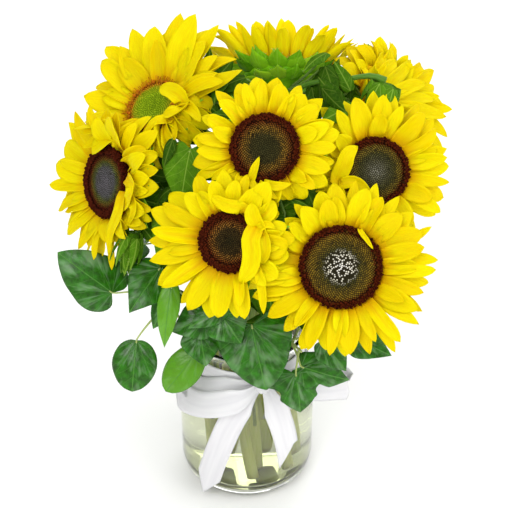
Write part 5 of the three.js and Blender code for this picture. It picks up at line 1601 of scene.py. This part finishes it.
def ribbonMaterial():
    material, shader, link = newMaterial("whiteSatinRibbon")  # close weave, 0.25 mm threads, soft shine
    flat = addNode(material, "UVMap", uv_map="flat")
    threads = addNode(material, "TexWave", {"Vector": flat.outputs["UV"], "Scale": 0.6}, bands_direction="X")
    bump = addNode(material, "Bump", {"Height": threads.outputs["Fac"], "Distance": 0.0001, "Strength": 0.15})
    link(bump.outputs["Normal"], shader.inputs["Normal"])
    # painted sheen: the satin's colour turns from bright to dull in long streaks
    stretched = addNode(material, "Mapping", {"Vector": flat.outputs["UV"], "Scale": (0.16, 0.012, 1)})
    drift = addNode(material, "TexNoise", {"Vector": stretched.outputs["Vector"], "Scale": 1.0, "Detail": 1.0})
    sheen = addNode(material, "MapRange", {"Value": drift.outputs["Fac"], "From Min": 0.35, "From Max": 0.65})
    paintedSheen = addNode(material, "Mix", {
        "Factor": sheen.outputs["Result"], 6: linear("#D7D6D9"), 7: linear("#E1E0E2"),
    }, data_type="RGBA")
    link(paintedSheen.outputs[2], shader.inputs["Base Color"])
    shader.inputs["Roughness"].default_value = 0.32
    shader.inputs["Specular IOR Level"].default_value = 0.5
    shader.inputs["Sheen Weight"].default_value = 0.15
    return material


# The band round the neck, slightly uneven across its height.
def addBand(made):
    inner, outer, low, high = ribbonShape["band"]
    heights = np.linspace(low, high, 9)
    section = [(inner + 0.15 * math.cos(h), h) for h in heights[::-1]]
    section += [(outer + 0.25 * math.cos(h * 1.7), h) for h in heights]
    points, faces = ringShell(section, ribbonShape["bandSides"])
    run = np.arctan2(points[:, 1], points[:, 0]) * ribbonShape["bandRadius"]
    made.add(points, faces, 0, np.stack([points[:, 2], run], axis=1))
    return 2 * math.pi * ribbonShape["bandRadius"]


# The knot: a ball with three soft lobes, sized and turned to face the front.
def addKnot(made):
    rings = ribbonShape["knotRings"]
    outline = [(math.sin(t), -math.cos(t)) for t in np.linspace(0, math.pi, rings + 1)]
    ball, faces = latheShell(outline, ribbonShape["knotSides"])
    ball[:, 0] *= 1 + 0.08 * np.cos(3 * np.arctan2(ball[:, 1], ball[:, 0]))
    spin = np.array(Matrix.Rotation(radians(ribbonShape["knotTurn"]), 3, "Z"))
    points = (ball * ribbonShape["knotSize"]) @ spin.T + ribbonShape["knot"]
    made.add(points, faces, 0, ball[:, :2] * 8)


def makeRibbon():
    made = growingMesh()
    total = 0
    for strip in strips.values():
        grid, flat, length = stripGrid(strip)
        points, faces = bladeShell(grid, ribbonShape["thickness"], (False, False))
        made.add(points, faces, 0, np.tile(flat.reshape(-1, 2), (2, 1)))
        total += length
    total += addBand(made)
    addKnot(made)
    piece = handOver(made.piece("satinRibbon", [ribbonMaterial()]), "satin_ribbon")
    print("ribbon laid flat:", round(total), "mm long")


makeRibbon()
print("ribbon ready")
